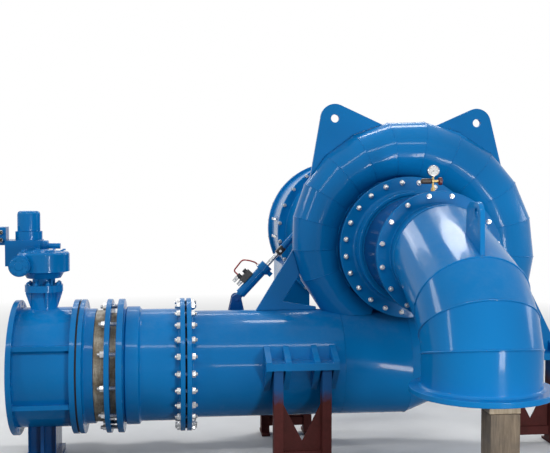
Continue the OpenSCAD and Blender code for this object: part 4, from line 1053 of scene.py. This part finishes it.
def generator():
    soft_piece("generator_hood", "generator_hood_pressed", BLUE, 0.008)
    soft_piece("generator_frame", "generator_frame_welded", BLUE, 0.006)
    # The rear shield takes the darkened enamel as painted shade
    soft_piece("generator_rear_shield", "generator_rear_shield_cast", SHADED_BLUE, 0.006)
    soft_piece("generator_base", "generator_base_welded", BLUE, 0.004)
    bolts_on_circle("generator_flange_bolts", hex_nut(M18, 0.015), ZINC,
                    [draft_side(-(FRAME_START - HOOD_FLANGE_T)), rear_side(FRAME_START + FRAME_FLANGE_T),
                     rear_side(FRAME_START + FRAME_L + FRAME_FLANGE_T)], 24, FRAME_PCD_R)
    side_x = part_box("generator_frame")[0].x
    rows = [(placed(Vector((side_x, MID_Y + FRAME_START + 0.14, AXIS_Z + up)), -RIGHT, REAR), 5, 0.06)
            for up in HATCH_ROWS_UP]
    bolts_in_rows("hatch_bolts", hex_nut(M12, 0.009), ZINC, rows)
    first_y = MID_Y + FRAME_START + 0.02
    rows = [(placed(Vector((AXIS_X + side * BASE_X + across, first_y, BASE_FOOT_T)), UP, REAR), 4, 0.27)
            for side in (-1, 1) for across in (-BASE_BOLT_X, BASE_BOLT_X)]
    bolts_in_rows("generator_anchor_nuts", hex_nut(M24, 0.022, stud_r=0.012, stud_l=0.016), ZINC, rows)


# Servomotor on its bracket, lying along its stroke
SERVO_A = math.radians(47)
SERVO_Y = 0.356
servo_base = AXIS + Vector((-1.128, SERVO_Y, -0.400))
SERVO_DIR = Vector((math.cos(SERVO_A), 0, math.sin(SERVO_A)))
SERVO_UP = Vector((-math.sin(SERVO_A), 0, math.cos(SERVO_A)))
SERVO_L, PIN_AT = 1.06184, 0.468
ROD_R, LINK_R, PIN_R, PIN_HALF = 0.0158, 0.0238, 0.010, 0.0238
EYE_HOLE_R, EYE_R, EYE_HALF = 0.0168, 0.0338, 0.0149
YOKE_FROM, YOKE_L, YOKE_W = 0.44025, 0.0655, 0.0475


def servo_point(s, off=0.0, depth=0.0):
    """Point along the servomotor from its base pin, off upward of it and depth to the rear."""
    return servo_base + SERVO_DIR * s + SERVO_UP * off + REAR * depth


def along_servo(s):
    """Local Z along the servomotor, at a distance from its base pin."""
    return placed(servo_point(s), SERVO_DIR, SERVO_UP)


def across_servo(s):
    """Local Z to the rear, as the pins lie."""
    return placed(servo_point(s), REAR, SERVO_DIR)


def servomotor():
    """Distances run from the base pin along the stroke."""
    # The bracket takes the darkened enamel as painted shade
    soft_piece("servo_bracket", "servo_bracket_welded", SHADED_BLUE, 0.002)
    soft_piece("servo_cylinder", "servo_cylinder_body", BLUE, 0.002)
    gland = hoop(0.020, 0.0455, 0.270, 0.3295)
    piece("servo_gland", lathe("gland", gland, along_servo(0.0), 64, 0.003, closed=True), BLACK)
    soft_piece("servo_manifold", "servo_manifold_block", BLACK, 0.002)
    rod = lathe("rod", drum(ROD_R, 0.240, 0.446), along_servo(0.0), 48, 0.001)
    piece("servo_rod_chrome", rod, CHROME, body="servo_rod", slot="rod_chrome")
    yoke = soft_box(YOKE_L, YOKE_W, YOKE_W, 0.004)
    yoke.transform(along_servo(YOKE_FROM + YOKE_L / 2))
    piece("servo_yoke", yoke, BLACK, body="servo_rod")
    pin = lathe("pin", drum(PIN_R, -PIN_HALF, PIN_HALF), across_servo(PIN_AT), 24, 0.001)
    piece("servo_yoke_pin", pin, ZINC, body="servo_rod")
    link = lathe("link", drum(LINK_R, 0.500, SERVO_L - 0.026), along_servo(0.0), 48, 0.003)
    ring = hoop(EYE_HOLE_R, EYE_R, -EYE_HALF, EYE_HALF)
    eye = lathe("eye", ring, across_servo(SERVO_L), 48, 0.002, closed=True)
    piece("servo_link", joined("link", [link, eye]), BLUE, "servo_rod", body="servo_rod")
    fittings = []
    for s, length in ((0.135, 0.029), (0.189, 0.021)):
        stub = [(0, 0), (0.0155, 0), (0.0155, 0.010), (0.011, 0.012), (0.011, length), (0, length)]
        foot = placed(servo_point(s, 0.0795), SERVO_UP, SERVO_DIR)
        fittings.append(lathe("fitting", stub, foot, 24, 0.001))
    for s, off, length in ((0.119, 0.058, 0.040), (0.121, 0.098, 0.044)):
        port = [(0, 0), (0.0145, 0), (0.0145, length * 0.4), (0.0125, length * 0.45), (0.0125, length),
                (0, length)]
        fittings.append(lathe("port", port, placed(servo_point(s, off), -SERVO_DIR, SERVO_UP), 6, 0.001))
    port_place = placed(servo_point(0.285, 0.044), SERVO_UP, SERVO_DIR)
    fittings.append(lathe("port", drum(0.011, 0, 0.012), port_place, 6, 0.001))
    piece("servo_fittings", joined("fittings", fittings), CHROME)
    line = [servo_point(s, off, -0.004) for s, off in
            ((0.135, 0.104), (0.135, 0.150), (0.236, 0.158), (0.266, 0.118), (0.285, 0.078), (0.285, 0.054))]
    run = pipe_run(line, 0.0055, RED_PIPE)
    for polygon in run.polygons:
        polygon.use_smooth = True
    piece("servo_pressure_pipe", run, RED_PIPE)


# Pressure gauge on the neck flange
GAUGE_X, GAUGE_UP, GAUGE_OUT = -0.031, 0.37645, 0.907
GAUGE_H, GAUGE_R = 0.123, 0.036
COCK_UP = 0.062
TICKS, FIGURES, DIAL_START, DIAL_SWEEP = 31, 7, 225, 270
TICKS_R, FIGURES_R, NEEDLE_TURN = 0.0275, 0.0185, math.radians(208)


def dial_place():
    """Middle of the case, local Z towards the reader and local Y up."""
    return draft_side(GAUGE_OUT, GAUGE_X, GAUGE_UP + GAUGE_H)


def on_dial(way, reach, out):
    """Local Z along a direction in the dial, at a distance from its middle."""
    return dial_place() @ placed(way * reach + UP * out, way, UP.cross(way))


def figure(text, where, size):
    """Raised figure on the dial."""
    curve = bpy.data.curves.new("figure", "FONT")
    curve.body = text
    curve.size = size
    curve.extrude = 0.0002
    curve.align_x = "CENTER"
    curve.align_y = "CENTER"
    obj = bpy.data.objects.new("figure", curve)
    bpy.context.collection.objects.link(obj)
    mesh = evaluated_mesh(obj, "figure")
    mesh.transform(dial_place() @ Matrix.Translation(where))
    return mesh


def gauge():
    case = [(0, -0.013), (GAUGE_R - 0.001, -0.013), (GAUGE_R - 0.001, 0.012), (GAUGE_R - 0.0045, 0.0155),
            (GAUGE_R - 0.006, 0.0155), (GAUGE_R - 0.006, 0.011), (0, 0.011)]
    piece("gauge_case", lathe("case", case, dial_place(), 64, 0.0008), CHROME, "pressure_gauge")
    face = drum(GAUGE_R - 0.0062, 0.0105, 0.0118)
    piece("gauge_dial", lathe("dial", face, dial_place(), 64, 0.0002), DIAL_WHITE)
    marks = []
    for k in range(TICKS):
        turn = math.radians(DIAL_START - DIAL_SWEEP / (TICKS - 1) * k)
        long = k % 5 == 0
        tick = soft_box(0.0052 if long else 0.003, 0.0009 if long else 0.0005, 0.0003, 0.0001)
        way = Vector((math.cos(turn), math.sin(turn), 0))
        reach = TICKS_R - (0.0026 if long else 0.0015)
        tick.transform(on_dial(way, reach, 0.0120))
        marks.append(tick)
    for k in range(FIGURES):
        turn = math.radians(DIAL_START - DIAL_SWEEP / (FIGURES - 1) * k)
        spot = Vector((FIGURES_R * math.cos(turn), FIGURES_R * math.sin(turn), 0.0119))
        marks.append(figure(str(2 * k), spot, 0.0062))
    piece("gauge_marks", joined("marks", marks), INK)
    needle = soft_box(0.026, 0.0014, 0.0006, 0.0002)
    way = Vector((math.cos(NEEDLE_TURN), math.sin(NEEDLE_TURN), 0))
    needle.transform(on_dial(way, 0.008, 0.0128))
    hub = lathe("hub", drum(0.003, 0.0115, 0.0138), dial_place(), 24, 0.0003)
    piece("gauge_needle", joined("needle", [needle, hub]), BLACK)
    rise = placed(AXIS + Vector((GAUGE_X, -GAUGE_OUT, GAUGE_UP)), UP, RIGHT)
    stem = [(0, 0.003), (0.0125, 0.003), (0.0125, 0.009), (0.0125, 0.021), (0.0068, 0.023), (0.0068, 0.048),
            (0.0068, GAUGE_H - GAUGE_R + 0.004), (0, GAUGE_H - GAUGE_R + 0.004)]
    cock_place = placed(AXIS + Vector((GAUGE_X, -GAUGE_OUT, GAUGE_UP + COCK_UP)), RIGHT, UP)
    cock = lathe("cock", drum(0.0085, -0.0725, 0.0335), cock_place, 32, 0.001)
    piece("gauge_stem", joined("stem", [lathe("stem", stem, rise, 32, 0.001), cock]), BRASS)
    handle = [(0, -0.0738), (0.010, -0.0738), (0.0165, -0.068), (0.0165, -0.016), (0.012, -0.006),
              (0, -0.006)]
    piece("gauge_cock_grip", lathe("grip", handle, cock_place, 40, 0.003), HANDLE_BROWN)
    knob = [(0, 0.0342), (0.0235, 0.0342), (0.0235, 0.0535), (0.010, 0.0538), (0, 0.0538)]
    piece("gauge_cock_knob", lathe("knob", knob, cock_place, 40, 0.003), KNOB_RED)


inlet_line()
inlet_gaskets()
inlet_fasteners()
valve()
valve_gear()
supports()
scroll()
draft_covers()
draft_bend()
guide_gear()
shaft_line()
generator()
servomotor()
gauge()


# Floor, light and camera
def area_light(name, energy, size, size_y, place, towards, turn=0.0):
    data = bpy.data.lights.new(name, "AREA")
    data.shape = "RECTANGLE"
    data.size = size
    data.size_y = size_y
    data.energy = energy
    obj = bpy.data.objects.new(name, data)
    bpy.context.collection.objects.link(obj)
    obj.location = place
    obj.visible_camera = False
    aim = (Vector(towards) - Vector(place)).to_track_quat("-Z", "Y").to_matrix()
    obj.rotation_euler = (aim @ Matrix.Rotation(math.radians(turn), 3, "Z")).to_euler()


def seen_directly(tree):
    """1 for camera, glossy and transmission rays, 0 for the light that bounces."""
    path = add_node(tree, "ShaderNodeLightPath", {})
    either = math_node(tree, "MAXIMUM", path.outputs["Is Camera Ray"], path.outputs["Is Glossy Ray"])
    return math_node(tree, "MAXIMUM", either, path.outputs["Is Transmission Ray"])


FLOOR_NEAR, FLOOR_FAR = 3.4, 9.0


def floor():
    """Pale floor that keeps the shadow and runs out into the white background."""
    bm = bmesh.new()
    bmesh.ops.create_grid(bm, x_segments=2, y_segments=2, size=30.0)
    mesh = mesh_from(bm, "floor")
    s = Shader("pale floor", roughness=0.8, specular=0.1)
    seen = seen_directly(s.tree)
    pale = s.mix(s.between(s.noise(2.0, 4.0), 0.3, 0.7), (0.78, 0.78, 0.77), (0.84, 0.84, 0.83))
    s.colour(s.mix(seen, (0.15, 0.15, 0.16), pale))
    away = s.node("ShaderNodeVectorMath", {0: s.where}, operation="LENGTH")
    far = s.between(away.outputs["Value"], FLOOR_NEAR, FLOOR_FAR)
    white = s.node("ShaderNodeEmission", {"Color": (1, 1, 1, 1), "Strength": 1.0})
    run_out = s.node("ShaderNodeMixShader", {
        0: s.times(far, seen), 1: s.bsdf.outputs[0], 2: white.outputs[0]})
    s.tree.links.new(run_out.outputs[0], s.tree.nodes["Material Output"].inputs["Surface"])
    mesh.materials.append(s.material)
    obj = bpy.data.objects.new("pale_floor", mesh)
    bpy.context.collection.objects.link(obj)
    obj.location = (0, 0, cad_box[0][2] - 0.001)


def white_surround():
    """White behind the set, softer grey for the light that reaches it."""
    world = bpy.data.worlds.new("studio")
    bpy.context.scene.world = world
    world.use_nodes = True
    tree = world.node_tree
    shade = tree.nodes["Background"]
    shade.inputs["Color"].default_value = (0.84, 0.89, 0.96, 1.0)
    shade.inputs["Strength"].default_value = 0.27
    white = add_node(tree, "ShaderNodeBackground", {"Color": (1, 1, 1, 1), "Strength": 1.0})
    mixed = add_node(tree, "ShaderNodeMixShader", {
        0: seen_directly(tree), 1: shade.outputs[0], 2: white.outputs[0]})
    tree.links.new(mixed.outputs[0], tree.nodes["World Output"].inputs[0])


floor()
white_surround()
area_light("strip behind", 70, 8.0, 0.16, (0.4, 4.6, 5.0), (-0.2, -0.4, 1.0))
area_light("strip over the front", 120, 6.5, 0.42, (-0.5, -4.8, 5.0), (-0.2, -0.6, 1.0))
area_light("low panel in front", 9, 0.6, 0.32, (0.0, -6.2, 1.1), (-0.3, -0.6, 0.8))
area_light("panel over the bend", 95, 2.1, 0.6, (1.1, 0.95, 5.2), (1.1, 0.95, 0.0), 8)
area_light("strip behind on the left", 80, 5.7, 0.4, (-3.3, 5.0, 5.2), (-3.3, 5.0, 0.0), -58)
area_light("panel on the left", 60, 1.3, 1.0, (-5.2, 0.6, 4.1), (0.4, -1.6, 1.2))
area_light("narrow panel on the left", 45, 0.5, 1.8, (-5.2, -3.4, 3.0), (0.6, -1.8, 1.1))
area_light("tall panel in front", 135, 0.9, 1.4, (2.4, -6.9, 0.75), (0.8, -1.8, 1.1))
area_light("panel on the right", 62, 3.0, 0.8, (5.8, -0.8, 2.3), (0.8, -1.8, 1.1))

# Camera: its place from the turbine's axis, how far it looks down and to the right, and its lens
EYE = AXIS + Vector((-1.56, -6.335, 0.398))
LOOKS_DOWN, LOOKS_RIGHT, LENS, SENSOR = 2.37, 6.1, 60.87, 36.0
camera = bpy.data.objects.new("photo camera", bpy.data.cameras.new("photo camera"))
bpy.context.collection.objects.link(camera)
camera.location = EYE
camera.rotation_euler = (math.radians(90 - LOOKS_DOWN), 0, math.radians(-LOOKS_RIGHT))
camera.data.lens = LENS
camera.data.sensor_width = SENSOR
camera.data.dof.use_dof = False
bpy.context.scene.camera = camera
bpy.context.scene.view_settings.view_transform = "Standard"
